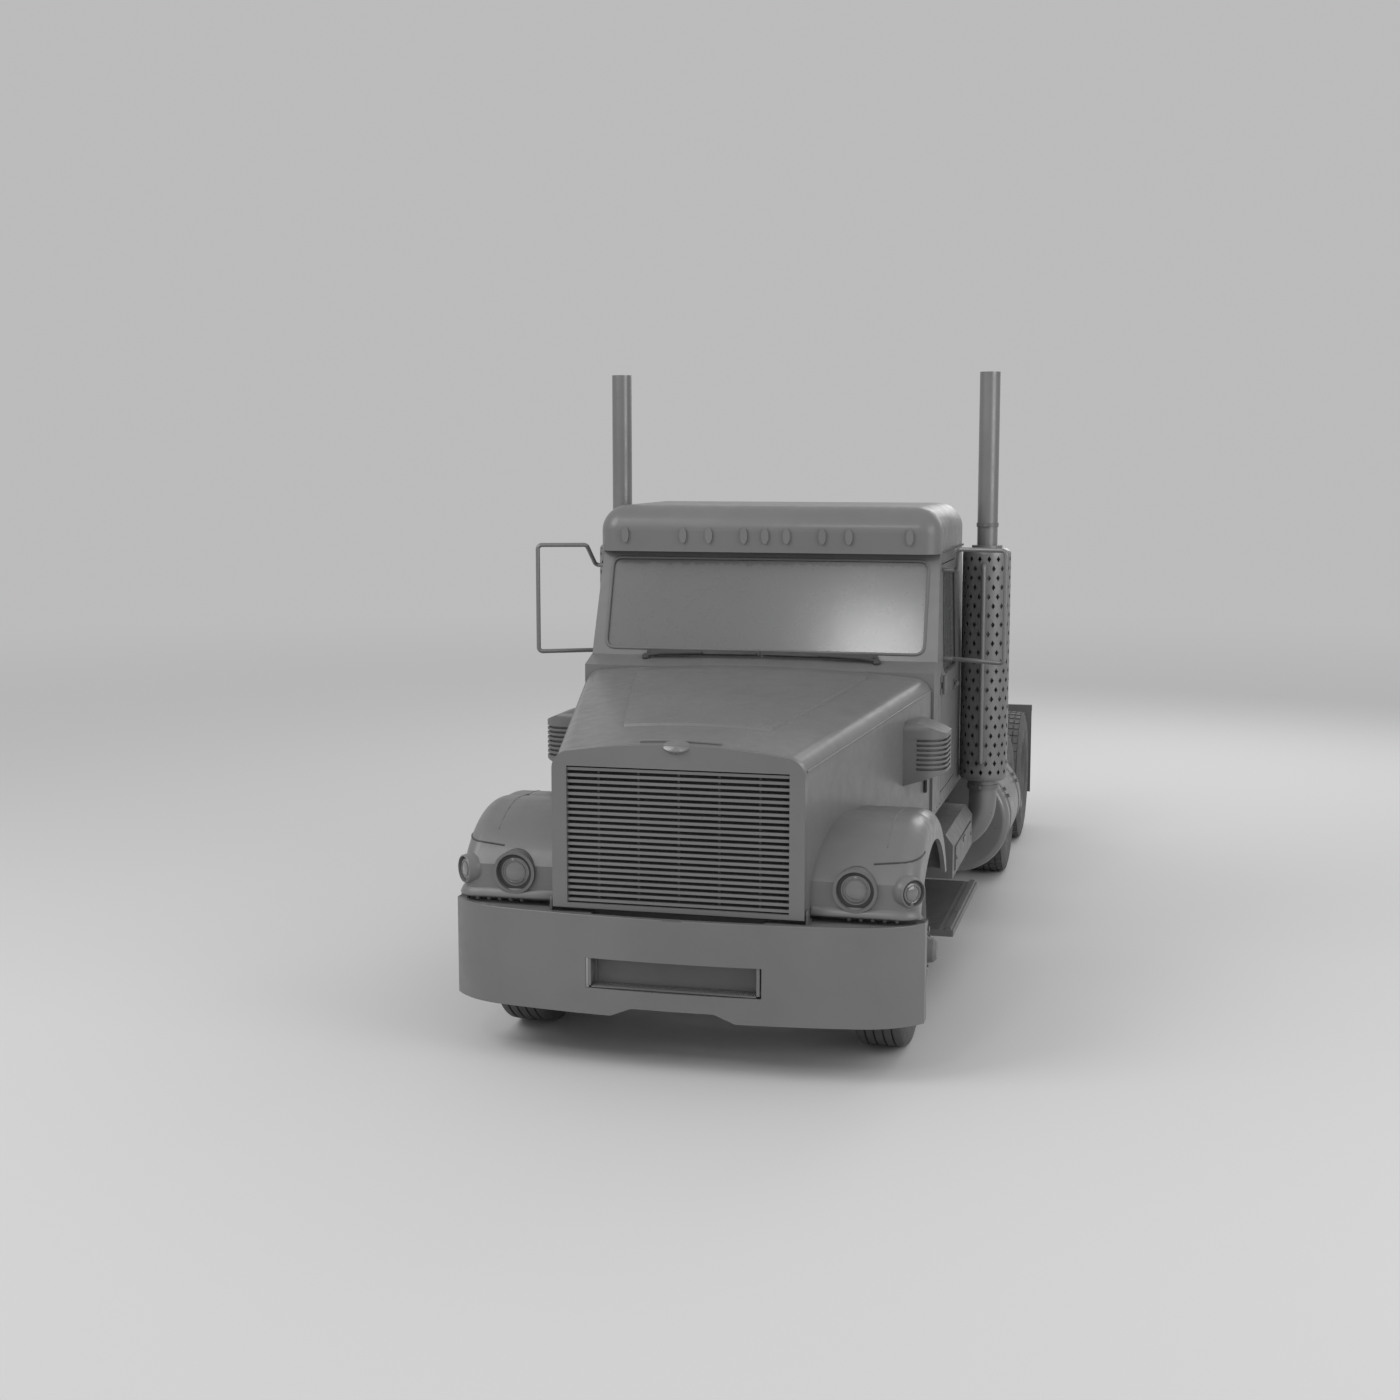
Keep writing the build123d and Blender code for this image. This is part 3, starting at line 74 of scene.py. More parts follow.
@dataclass(frozen=True)
class Wires:
    """Adds joined nodes to one node tree."""

    tree: bpy.types.NodeTree

    def join(self, socket: Socket, value: object) -> None:
        """Set an input to a value, or join it to another node's output.

        Args:
            socket: The input.
            value: The value or output.
        """
        if isinstance(value, bpy.types.NodeSocket):
            self.tree.links.new(value, socket)
        else:
            socket.default_value = value

    def add(self, kind: str, inputs: Mapping[Key, object], out: Key = 0, **options: object) -> Socket:
        """Add a node with its inputs set or joined.

        Args:
            kind: The node's type.
            inputs: A value or another node's output for each input that is set.
            out: Which output is wanted.
            **options: The node's own options, which are set first.

        Returns:
            The wanted output.
        """
        node = self.tree.nodes.new(kind)
        for name, value in options.items():
            setattr(node, name, value)
        for name, value in inputs.items():
            self.join(node.inputs[name], value)
        return node.outputs[out]

    def sums(self, operation: str, first: object, second: object) -> Socket:
        """Return the result of an operation on two numbers."""
        return self.add("ShaderNodeMath", {0: first, 1: second}, operation=operation)

    def part(self, vector: Socket, axis: str) -> Socket:
        """Return one part of a vector."""
        return self.add("ShaderNodeSeparateXYZ", {"Vector": vector}, axis)

    def noise(self, place: Socket, scale: float, detail: float) -> Socket:
        """Return a noise with scale cells in each metre and detail finer octaves."""
        return self.add("ShaderNodeTexNoise", {"Vector": place, "Scale": scale, "Detail": detail})

    def ramp(self, source: Socket, span: Point, result: Point) -> Socket:
        """Return a source mapped from one range to another."""
        ends = {"From Min": span[0], "From Max": span[1], "To Min": result[0], "To Max": result[1]}
        return self.add("ShaderNodeMapRange", {"Value": source, **ends})

    def blend(self, share: Socket, near: object, far: object) -> Socket:
        """Return a colour that goes from near to far with a share."""
        return self.add("ShaderNodeMix", {"Factor": share, "A": near, "B": far}, "Result", data_type="RGBA")


class Grain(Enum):
    """Kinds of fine surface relief that a finish can have."""

    ORANGE_PEEL = "orange_peel"
    CAST = "cast"
    BRUSHED = "brushed"
    RUBBER = "rubber"
    CLEAR = "clear"
    WOVEN = "woven"


@dataclass(frozen=True)
class Finish:
    """A surface finish, made into a node material when it is first used.

    Noises are pairs of cells in each metre and finer octaves.
    """

    name: str
    colour: tuple[float, float, float]
    roughness: float
    metallic: float = 0.0
    grain: Grain = Grain.ORANGE_PEEL
    grain_size: float = 0.02
    relief: float = 0.0004
    uneven: float = 0.08
    dust: float = 0.12
    coat: float = 0.0
    coat_roughness: float = 0.1
    band_z: float = 0.0
    clouds: tuple[float, float] = (2.3, 5)
    dusting: tuple[float, float] = (9, 6)
    smears: tuple[float, float] = (14, 7)
    ragged: tuple[float, float] = (26, 4)
    dust_tone: tuple[float, float, float, float] = (0.3, 0.295, 0.285, 1)

    def material(self) -> bpy.types.Material:
        """Return this finish's material, building its nodes the first time.

        Returns:
            The material, shared by every piece with this finish.
        """
        known = bpy.data.materials.get(self.name)
        if known is not None:
            return known
        material = bpy.data.materials.new(self.name)
        material.use_nodes = True
        wires = Wires(material.node_tree)
        place = wires.add("ShaderNodeTexCoord", {}, "Object")
        spread = 0.06 if self.grain is Grain.CLEAR else 0.2
        gloss = (self.roughness * (1 - spread), min(1.0, self.roughness * (1 + spread)))
        values = {
            "Metallic": self.metallic,
            "Coat Weight": self.coat,
            "Coat Roughness": self.coat_roughness,
            "Base Color": self._colour(wires, place),
            "Roughness": wires.ramp(wires.noise(place, *self.smears), (0.3, 0.7), gloss),
        }
        if self.grain is not Grain.CLEAR:
            values["Normal"] = self._relief(wires, place)
        shader = material.node_tree.nodes["Principled BSDF"]
        for name, value in values.items():
            wires.join(shader.inputs[name], value)
        return material

    def _tone(self, share: float) -> tuple[float, ...]:
        """Return the finish's colour, made lighter or darker."""
        return (*(min(1, part * share) for part in self.colour), 1)

    def _colour(self, wires: Wires, place: Socket) -> Socket:
        """Vary the colour slowly, dust the faces that point up and darken what lies above band_z.

        Args:
            wires: The material's nodes.
            place: The coordinates that the pattern follows.

        Returns:
            The colour's socket.
        """
        cloud = wires.ramp(wires.noise(place, *self.clouds), (0.3, 0.7), (0, 1))
        result = wires.blend(cloud, self._tone(1 - self.uneven), self._tone(1 + self.uneven))
        if self.dust > 0:
            normal = wires.add("ShaderNodeNewGeometry", {}, "Normal")
            up = wires.ramp(wires.part(normal, "Z"), (0.1, 1.0), (0, self.dust))
            spread = wires.ramp(wires.noise(place, *self.dusting), (0.35, 0.65), (0.3, 1))
            result = wires.blend(wires.sums("MULTIPLY", up, spread), result, self.dust_tone)
        if self.band_z > 0:
            stray = wires.ramp(wires.noise(place, *self.ragged), (0.3, 0.7), (-0.012, 0.012))
            height = wires.sums("ADD", wires.part(place, "Z"), stray)
            edge = wires.ramp(height, (self.band_z - 0.006, self.band_z + 0.006), (0, 1))
            result = wires.blend(edge, result, self._tone(0.62))
        return result

    def _relief(self, wires: Wires, place: Socket) -> Socket:
        """Return the finish's fine relief.

        Args:
            wires: The material's nodes.
            place: The coordinates that the grain follows.

        Returns:
            The bent normal's socket.
        """
        cells = 1 / self.grain_size
        if self.grain is Grain.BRUSHED:
            place = wires.add("ShaderNodeMapping", {"Vector": place, "Scale": (0.06, 1, 1)})
        if self.grain is Grain.WOVEN:
            height = wires.add("ShaderNodeTexVoronoi", {"Vector": place, "Scale": cells}, "Distance")
        else:
            height = wires.noise(place, cells, 3)
        return wires.add("ShaderNodeBump", {"Strength": 0.5, "Distance": self.relief, "Height": height})


PAINT = Finish(
    "body_paint", (0.150, 0.150, 0.151), 0.42,
    coat=0.30, coat_roughness=0.22, uneven=0.05, dust=0.1, relief=0.0002,
)
BUMPER_METAL = Finish(
    "bumper_metal", (0.175, 0.175, 0.176), 0.38, 0.25, Grain.BRUSHED, relief=0.0001, uneven=0.06
)
BRIGHT_METAL = Finish(
    "bright_metal", (0.21, 0.21, 0.21), 0.34, 0.45, Grain.BRUSHED, relief=0.0001, uneven=0.06
)
SATIN_METAL = Finish("satin_metal", (0.165, 0.165, 0.166), 0.46, 0.3, Grain.CAST, relief=0.0002)
FRAME_METAL = Finish(
    "frame_metal", (0.1, 0.1, 0.102), 0.62, 0.1, Grain.CAST, 0.012, relief=0.0005, dust=0.25
)
CAST_IRON = Finish(
    "cast_iron", (0.13, 0.13, 0.13), 0.68, 0.2, Grain.CAST, 0.008, relief=0.0008, dust=0.25
)
RUBBER = Finish(
    "tyre_rubber", (0.09, 0.09, 0.09), 0.74, 0.0, Grain.RUBBER, 0.006, relief=0.0003, uneven=0.12, dust=0.2
)
TRIM = Finish("moulded_trim", (0.15, 0.15, 0.15), 0.55, 0.0, Grain.CAST, 0.004, relief=0.0002)
GLASS = Finish(
    "smoked_glass", (0.115, 0.116, 0.117), 0.28, 0.0, Grain.CLEAR,
    uneven=0.05, dust=0.0, coat=0.6, coat_roughness=0.14,
)
SCREEN = Finish(
    "banded_glass", (0.118, 0.119, 0.12), 0.28, 0.0, Grain.CLEAR,
    uneven=0.05, dust=0.0, coat=0.6, coat_roughness=0.14, band_z=2.452,
)
LENS = Finish(
    "lamp_lens", (0.155, 0.155, 0.156), 0.16, 0.0, Grain.CLEAR, dust=0.0, coat=1.0, coat_roughness=0.05
)
SEAL = Finish("rubber_seal", (0.05, 0.05, 0.05), 0.6, 0.0, Grain.RUBBER, 0.004, relief=0.0002, dust=0.08)
NET = Finish("insect_net", (0.045, 0.045, 0.045), 0.7, 0.0, Grain.WOVEN, 0.004, relief=0.0006, dust=0.0)
CLOTH = Finish("seat_cloth", (0.12, 0.12, 0.122), 0.85, 0.0, Grain.WOVEN, 0.004, relief=0.0008, dust=0.0)

NODE_NAMES: dict[Finish, tuple[str, ...]] = {
    PAINT: ("hood_shell", "fenders", "grille_surround", "cab_shell", "cab_roof", "door_"),
    BUMPER_METAL: ("front_bumper",),
    BRIGHT_METAL: ("grille_slats", "mirror_hoop_", "exhaust_", "fuel_tanks"),
    SATIN_METAL: (
        "air_cleaners", "headlamps", "door_hinges", "step_boxes", "running_boards",
        "front_wheel_", "drive_wheels_",
    ),
    CAST_IRON: ("engine_block", "driveline", "coupling_plate"),
    RUBBER: ("front_tyre_", "drive_tyres_", "mud_flaps", "cab_mounts"),
    TRIM: ("dashboard", "steering_wheel", "steering_column", "radiator"),
    GLASS: ("door_glass_", "rear_window"),
    SCREEN: ("windscreen",),
    LENS: ("marker_lamps",),
    CLOTH: ("seats",),
}


def dress_nodes(nodes: Mapping[str, bpy.types.Object]) -> None:
    """Give every CAD node the finish of the longest name that starts its own, or else the frame's.

    Args:
        nodes: The CAD nodes by name.
    """
    for name, node in nodes.items():
        pairs = [(start, finish) for finish, starts in NODE_NAMES.items() for start in starts]
        fits = [(len(start), finish) for start, finish in pairs if name.startswith(start)]
        finish = max(fits, key=lambda fit: fit[0])[1] if fits else FRAME_METAL
        node.data.materials.clear()
        node.data.materials.append(finish.material())
        LOG.info("%s: %s", name, finish.name)


def add_object(name: str, data: bpy.types.ID) -> bpy.types.Object:
    """Make an object and put it in the scene.

    Args:
        name: Its name.
        data: Its mesh, camera or lamp.

    Returns:
        The object.
    """
    thing = bpy.data.objects.new(name, data)
    bpy.context.scene.collection.objects.link(thing)
    return thing


def finished_mesh(thing: bpy.types.Object) -> bpy.types.Mesh:
    """Return a passing object's mesh with its modifiers applied, and remove the object.

    Args:
        thing: The object, which goes with its own mesh.

    Returns:
        The finished mesh.
    """
    graph = bpy.context.evaluated_depsgraph_get()
    mesh = bpy.data.meshes.new_from_object(thing.evaluated_get(graph))
    remove_object(thing)
    return mesh


def remove_object(thing: bpy.types.Object) -> None:
    """Remove an object and its mesh.

    Args:
        thing: The object.
    """
    blank = thing.data
    bpy.data.objects.remove(thing)
    bpy.data.meshes.remove(blank)


@dataclass
class Skin:
    """Outer surface of a CAD node, which trim is seated on."""

    node: bpy.types.Object

    def __post_init__(self) -> None:
        """Index the node's triangles."""
        mesh = self.node.data
        points = [vertex.co.copy() for vertex in mesh.vertices]
        self.tree = BVHTree.FromPolygons(points, [tuple(face.vertices) for face in mesh.polygons])

    def hit(self, start: Point, aim: Point, lift: float = 0.0) -> Vector:
        """Find where a ray first meets the surface.

        Args:
            start: The ray's first point.
            aim: Its direction.
            lift: How far back along the ray the result stands off.

        Returns:
            The point on the surface, or off it by lift.

        Raises:
            LookupError: If the ray misses.
        """
        direction = Vector(aim).normalized()
        found = self.tree.ray_cast(Vector(start), direction)[0]
        if found is None:
            raise LookupError(f"no surface of {self.node.name} at {tuple(start)}")
        return found - direction * lift


class Side(Enum):
    """The truck's two sides, with the sign of X on each."""

    LEFT = 1
    RIGHT = -1

    @property
    def word(self) -> str:
        """The side's name as the CAD writes it."""
        return self.name.lower()

    def at(self, x: float, y: float, z: float) -> Vector:
        """Return a point on this side, from its place on the left."""
        return Vector((self.value * x, y, z))

    def ahead(self, degrees: float) -> Vector:
        """Return the level way that is turned from straight ahead to this side."""
        turn = math.radians(degrees)
        return self.at(math.sin(turn), -math.cos(turn), 0)

    def above(self, degrees: float) -> Vector:
        """Return the way that leans from straight up to this side."""
        turn = math.radians(degrees)
        return self.at(math.sin(turn), 0, math.cos(turn))


class Layout(Enum):
    """How the copies of a repeated form are laid out."""

    ROW = "row"
    RING = "ring"


class Head(Enum):
    """Small forms that can be repeated, by the sides of a round one."""

    BOLT = 6
    RIVET = 12
    BLOCK = 0


class Repeater:
    """Geometry Nodes trees that lay copies of a small form in a row or a ring."""

    inputs: dict[str, str] = {
        "Copies": "Int", "Size": "Vector", "Place": "Vector", "Turn": "Vector",
        "End": "Vector", "Ring Radius": "Float", "Finish": "Material",
    }

    def __init__(self) -> None:
        """Start with no trees made."""
        self.trees: dict[tuple[Layout, Head], bpy.types.NodeTree] = {}

    def _form(self, wires: Wires, head: Head, size: Socket) -> Socket:
        """Make the repeated form.

        Args:
            wires: The tree's nodes.
            head: Which form.
            size: Its size: radius, radius and height, or a block's three sides.

        Returns:
            The form's geometry.
        """
        if head is Head.BLOCK:
            return wires.add("GeometryNodeMeshCube", {"Size": size})
        sizes = {"Radius": wires.part(size, "X"), "Depth": wires.part(size, "Z")}
        return wires.add("GeometryNodeMeshCylinder", {"Vertices": head.value, **sizes})

    def _tree(self, layout: Layout, head: Head) -> bpy.types.NodeTree:
        """Return the tree for one layout of one form, building it the first time.

        Args:
            layout: Row or ring.
            head: The repeated form.

        Returns:
            The node tree.
        """
        if (layout, head) in self.trees:
            return self.trees[layout, head]
        tree = bpy.data.node_groups.new(f"{head.name.lower()}_{layout.value}", "GeometryNodeTree")
        for name, kind in self.inputs.items():
            tree.interface.new_socket(name=name, in_out="INPUT", socket_type=f"NodeSocket{kind}")
        tree.interface.new_socket(name="Geometry", in_out="OUTPUT", socket_type="NodeSocketGeometry")
        wires = Wires(tree)
        entry = tree.nodes.new("NodeGroupInput").outputs
        if layout is Layout.ROW:
            line = {"Count": entry["Copies"], "Start Location": entry["Place"], "Offset": entry["End"]}
            points = wires.add("GeometryNodeMeshLine", line, mode="END_POINTS")
            spin = entry["Turn"]
        else:
            circle = {"Vertices": entry["Copies"], "Radius": entry["Ring Radius"]}
            points = wires.add("GeometryNodeMeshCircle", circle)
            step = wires.sums("DIVIDE", math.tau, entry["Copies"])
            angle = wires.sums("MULTIPLY", wires.add("GeometryNodeInputIndex", {}), step)
            spin = wires.add("ShaderNodeCombineXYZ", {"Z": angle})
        form = self._form(wires, head, entry["Size"])
        laid = {"Points": points, "Instance": form, "Rotation": spin}
        copies = wires.add("GeometryNodeInstanceOnPoints", laid)
        result = wires.add("GeometryNodeRealizeInstances", {"Geometry": copies})
        if layout is Layout.RING:
            move = {"Geometry": result, "Translation": entry["Place"], "Rotation": entry["Turn"]}
            result = wires.add("GeometryNodeTransform", move)
        result = wires.add("GeometryNodeSetMaterial", {"Geometry": result, "Material": entry["Finish"]})
        wires.join(tree.nodes.new("NodeGroupOutput").inputs["Geometry"], result)
        self.trees[layout, head] = tree
        return tree

    def grow(self, layout: Layout, head: Head, values: Mapping[str, object]) -> bpy.types.Mesh:
        """Evaluate a tree and return its copies as one plain mesh.

        Args:
            layout: Row or ring.
            head: The repeated form.
            values: The tree's inputs.

        Returns:
            The mesh, which the caller removes.
        """
        tree = self._tree(layout, head)
        carrier = add_object("carrier", bpy.data.meshes.new("carrier"))
        modifier = carrier.modifiers.new("repeat", "NODES")
        modifier.node_group = tree
        for item in tree.interface.items_tree:
            if item.in_out == "INPUT" and item.name in values:
                modifier[item.identifier] = values[item.name]
        return finished_mesh(carrier)


REPEATER = Repeater()


def floats(values: Point) -> tuple[float, ...]:
    """Return the values as floats, which a node input needs."""
    return tuple(float(value) for value in values)


def bands(rings: int, size: int, closed: bool, looped: bool) -> list[tuple[int, ...]]:
    """Return the faces that join rings of points, which follow each other in one list.

    Args:
        rings: How many rings there are.
        size: Points in each ring.
        closed: Whether a ring's last point joins its first.
        looped: Whether the last ring joins the first.

    Returns:
        The faces.
    """
    faces = []
    for ring in range(rings if looped else rings - 1):
        one, two = ring * size, (ring + 1) % rings * size
        for k in range(size if closed else size - 1):
            after = (k + 1) % size
            faces.append((one + k, one + after, two + after, two + k))
    return faces


class Shape:
    """Vertices and faces of one piece, gathered from simple forms."""

    def __init__(self, name: str, finish: Finish) -> None:
        """Start an empty piece.

        Args:
            name: The piece's name.
            finish: Its finish.
        """
        self.name = name
        self.finish = finish
        self.points: list[Vector] = []
        self.faces: list[tuple[int, ...]] = []

    def add(self, points: Iterable[Point], faces: Iterable[Sequence[int]]) -> None:
        """Append points and the faces that join them.

        Args:
            points: The new points.
            faces: Faces, as numbers of the new points.
        """
        base = len(self.points)
        self.points.extend(Vector(point) for point in points)
        self.faces.extend(tuple(base + index for index in face) for face in faces)

    def lathe(self, profile: Sequence[Point], origin: Point, axis: Point, segments: int = 48) -> None:
        """Turn a profile round an axis.

        Args:
            profile: Pairs of distance along the axis and radius.
            origin: A point on the axis, where the distance is 0.
            axis: The axis's direction.
            segments: Steps in the turn.
        """
        centre, ahead = Vector(origin), Vector(axis).normalized()
        across = ahead.orthogonal().normalized()
        up = ahead.cross(across)
        points = []
        for step in range(segments):
            angle = math.tau * step / segments
            spoke = across * math.cos(angle) + up * math.sin(angle)
            points.extend(centre + ahead * along + spoke * radius for along, radius in profile)
        self.add(points, bands(segments, len(profile), closed=False, looped=True))

    def drum(self, radius: float, ends: Point, origin: Point, axis: Point) -> None:
        """Add a plain disc between two distances along an axis.

        Args:
            radius: Its radius.
            ends: The two distances.
            origin: A point on the axis, where the distance is 0.
            axis: The axis's direction.
        """
        low, high = ends
        self.lathe([(low, 0), (low, radius), (high, radius), (high, 0)], origin, axis)

    def prism(self, outline: Sequence[Point], depth: Point) -> None:
        """Push a flat outline through space.

        Args:
            outline: Its corners in order.
            depth: The way and distance that it is pushed.
        """
        count = len(outline)
        near = [Vector(point) for point in outline]
        far = [point + Vector(depth) for point in near]
        faces = [tuple(range(count)), tuple(reversed(range(count, 2 * count)))]
        faces.extend((k, k + count, (k + 1) % count + count, (k + 1) % count) for k in range(count))
        self.add(near + far, faces)

    def block(self, centre: Point, size: Point, turn: Point = (0, 0, 0)) -> None:
        """Add a block.

        Args:
            centre: Its middle.
            size: Its three sides.
            turn: Its rotation about X, Y and Z.
        """
        spin = Euler(turn).to_matrix()
        half = Vector(size) / 2
        corners = [(-1, -1), (1, -1), (1, 1), (-1, 1)]
        base = [Vector(centre) + spin @ Vector((x * half.x, y * half.y, -half.z)) for x, y in corners]
        self.prism(base, spin @ Vector((0, 0, size[2])))

    def tube(self, path: Sequence[Point], radius: float, sides: int = 10, closed: bool = False) -> None:
        """Run a round tube along a path.

        Args:
            path: The points of its middle line.
            radius: Its radius.
            sides: Faces round it.
            closed: Whether the path ends where it starts.
        """
        line = [Vector(point) for point in path]
        count = len(line)
        ways = []
        for k, point in enumerate(line):
            before = line[k - 1] if closed or k else point
            after = line[(k + 1) % count] if closed or k < count - 1 else point
            ways.append((after - before).normalized())
        side = ways[0].orthogonal().normalized()
        points = []
        for point, way in zip(line, ways):
            side = (side - way * side.dot(way)).normalized()
            other = way.cross(side)
            for step in range(sides):
                angle = math.tau * step / sides
                points.append(point + (side * math.cos(angle) + other * math.sin(angle)) * radius)
        faces = bands(count, sides, closed=True, looped=closed)
        if not closed:
            faces += [tuple(reversed(range(sides))), tuple(range((count - 1) * sides, count * sides))]
        self.add(points, faces)

    def row(
        self, head: Head, copies: int, size: Point, start: Point, end: Point, turn: Point = (0, 0, 0)
    ) -> None:
        """Add a row of small forms.

        Args:
            head: The repeated form.
            copies: How many.
            size: The form's size.
            start: The first one's place.
            end: The last one's place.
            turn: How each is turned.
        """
        values = {"Size": floats(size), "Place": floats(start), "End": floats(end), "Turn": floats(turn)}
        values |= {"Copies": copies, "Finish": self.finish.material()}
        self._take(REPEATER.grow(Layout.ROW, head, values))

    def ring(self, head: Head, copies: int, size: Point, place: Point, radius: float) -> None:
        """Add a ring of small forms round a level axis across the truck.

        Args:
            head: The repeated form.
            copies: How many.
            size: The form's size along the radius, the ring and the axis.
            place: The ring's middle.
            radius: The ring's radius.
        """
        values = {"Size": floats(size), "Place": floats(place), "Turn": floats(TURNED_OUT)}
        values |= {"Ring Radius": radius, "Copies": copies, "Finish": self.finish.material()}
        self._take(REPEATER.grow(Layout.RING, head, values))

    def carve(self, tool: Shape, operation: str = "DIFFERENCE") -> None:
        """Cut this piece with another one.

        Args:
            tool: The cutting piece.
            operation: DIFFERENCE, or INTERSECT to keep what lies in both.
        """
        solid, cutter = (add_object(shape.name, shape._mesh()) for shape in (self, tool))
        modifier = solid.modifiers.new("carve", "BOOLEAN")
        modifier.operation = operation
        modifier.solver = "EXACT"
        modifier.object = cutter
        mesh = finished_mesh(solid)
        remove_object(cutter)
        self.points, self.faces = [], []
        self._take(mesh)

    def _take(self, mesh: bpy.types.Mesh) -> None:
        """Move a mesh's faces into this piece and remove the mesh.

        Args:
            mesh: The mesh.
        """
        points = [vertex.co.copy() for vertex in mesh.vertices]
        self.add(points, [tuple(face.vertices) for face in mesh.polygons])
        bpy.data.meshes.remove(mesh)

    def _mesh(self, bevel: float = 0.0) -> bpy.types.Mesh:
        """Return a mesh of the faces, welded, turned outwards and rounded.

        Args:
            bevel: Width of the rounding on the sharp edges.

        Returns:
            The mesh.
        """
        mesh = bpy.data.meshes.new(self.name)
        mesh.from_pydata(self.points, [], self.faces)
        work = bmesh.new()
        work.from_mesh(mesh)
        bmesh.ops.remove_doubles(work, verts=work.verts, dist=WELD)
        bmesh.ops.recalc_face_normals(work, faces=work.faces)
        if bevel > 0:
            sharp = [edge for edge in work.edges if edge.is_manifold and edge.calc_face_angle(0) > SHARP]
            bmesh.ops.bevel(work, geom=sharp, offset=bevel, segments=2, affect="EDGES", clamp_overlap=True)
        work.to_mesh(mesh)
        work.free()
        return mesh

    def place(
        self, body: str, bevel: float = 0.0, replaces: Sequence[str] = (), crease: float = 34.0
    ) -> bpy.types.Object:
        """Make the piece and let it ride on a body.

        Args:
            body: The CAD body that it rides on.
            bevel: Width of the rounding on its sharp edges.
            replaces: CAD nodes that it stands for.
            crease: The angle in degrees above which an edge stays sharp.

        Returns:
            The new object.
        """
        mesh = self._mesh(bevel)
        mesh.shade_smooth()
        mesh.set_sharp_from_angle(angle=math.radians(crease))
        mesh.materials.append(self.finish.material())
        piece = add_object(self.name, mesh)
        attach(piece, body)
        if replaces:
            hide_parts(*replaces)
        LOG.info("%s rides on %s with %d faces", self.name, body, len(mesh.polygons))
        return piece


def rounded(corners: Sequence[Point], radius: float, steps: int = 5) -> list[Vector]:
    """Round the corners of a closed outline.

    Args:
        corners: Its corners in order.
        radius: How far from each corner the rounding starts.
        steps: Steps in each rounded corner.

    Returns:
        The outline's points.
    """
    line = []
    for k, corner in enumerate(corners):
        here = Vector(corner)
        before = (Vector(corners[k - 1]) - here).normalized()
        after = (Vector(corners[(k + 1) % len(corners)]) - here).normalized()
        start, end = here + before * radius, here + after * radius
        for step in range(steps + 1):
            t = step / steps
            line.append(start * (1 - t) ** 2 + here * 2 * t * (1 - t) + end * t**2)
    return line


def hoop(corners: Sequence[Point], radius: float) -> list[Vector]:
    """Return an open path through four corners, with the middle two rounded."""
    return [Vector(corners[0]), *rounded(corners, radius)[6:18], Vector(corners[3])]


class Tread(Enum):
    """Tread patterns."""

    RIBBED = "ribbed"
    LUGGED = "lugged"


@dataclass
class Tyre:
    """One road tyre: sidewalls, shoulders and tread."""

    tread: Tread
    radius: float = 0.5148
    half_width: float = 0.1396
    bead_radius: float = 0.286
    bead_half: float = 0.12
    grooves: tuple[float, ...] = (-0.071, -0.0245, 0.0245, 0.071)
    groove_depth: float = 0.013
    groove_width: float = 0.011
    lug_height: float = 0.009
    lug_rows: tuple[tuple[float, float], ...] = (
        (-0.0925, 0.036), (-0.0475, 0.034), (0.0, 0.037), (0.0475, 0.034), (0.0925, 0.036)
    )
    blocks: int = 44
    segments: int = 96

    def crown(self, along: float) -> float:
        """Return the tread's radius at a distance from the middle."""
        return self.radius - 0.006 * (along / 0.115) ** 2

    def profile(self) -> list[tuple[float, float]]:
        """Return the tyre's section from bead to bead.

        Returns:
            Pairs of distance from the middle and radius.
        """
        wall = [
            (-self.bead_half, self.bead_radius), (-0.127, self.bead_radius + 0.008),
            (-0.1315, self.bead_radius + 0.018), (-0.1285, self.bead_radius + 0.027),
            (-0.134, 0.335), (-0.1385, 0.365), (-self.half_width, 0.392), (-self.half_width, 0.412),
            (-0.1375, 0.414), (-0.136, 0.445), (-0.1315, 0.462), (-0.133, 0.4645), (-0.131, 0.468),
            (-0.1265, 0.482), (-0.1235, 0.496), (-0.1175, 0.5045), (-0.109, self.crown(0.109)),
        ]
        half = self.groove_width / 2
        ribs = []
        for groove in self.grooves:
            edge = self.crown(groove)
            foot = edge - self.groove_depth
            steps = ((-half, edge), (-half * 0.6, foot), (half * 0.6, foot), (half, edge))
            ribs += [(groove + shift, radius) for shift, radius in steps]
        if self.tread is Tread.LUGGED:
            low = self.lug_height
            top = self.radius - 0.008
            ribs = [(along, radius - low if radius > top else radius) for along, radius in ribs]
            wall = [(along, radius - low if along > -0.112 else radius) for along, radius in wall]
        return wall + ribs + [(-along, radius) for along, radius in reversed(wall)]

    def build(self, shape: Shape, centre: Vector) -> None:
        """Add this tyre to a piece.

        Args:
            shape: The piece.
            centre: The tyre's middle.
        """
        shape.lathe(self.profile(), centre, (1, 0, 0), self.segments)
        if self.tread is Tread.LUGGED:
            for along, width in self.lug_rows:
                size = (0.016, 0.046, width)
                top = self.crown(abs(along) + width / 2)
                place = centre + Vector((along, 0, 0))
                shape.ring(Head.BLOCK, self.blocks, size, place, top - size[0] / 2)
        for edge in (-0.1245, 0.1245):
            place = centre + Vector((edge, 0, 0))
            shape.ring(Head.BLOCK, 2 * self.blocks, (0.012, 0.011, 0.003), place, 0.4865)


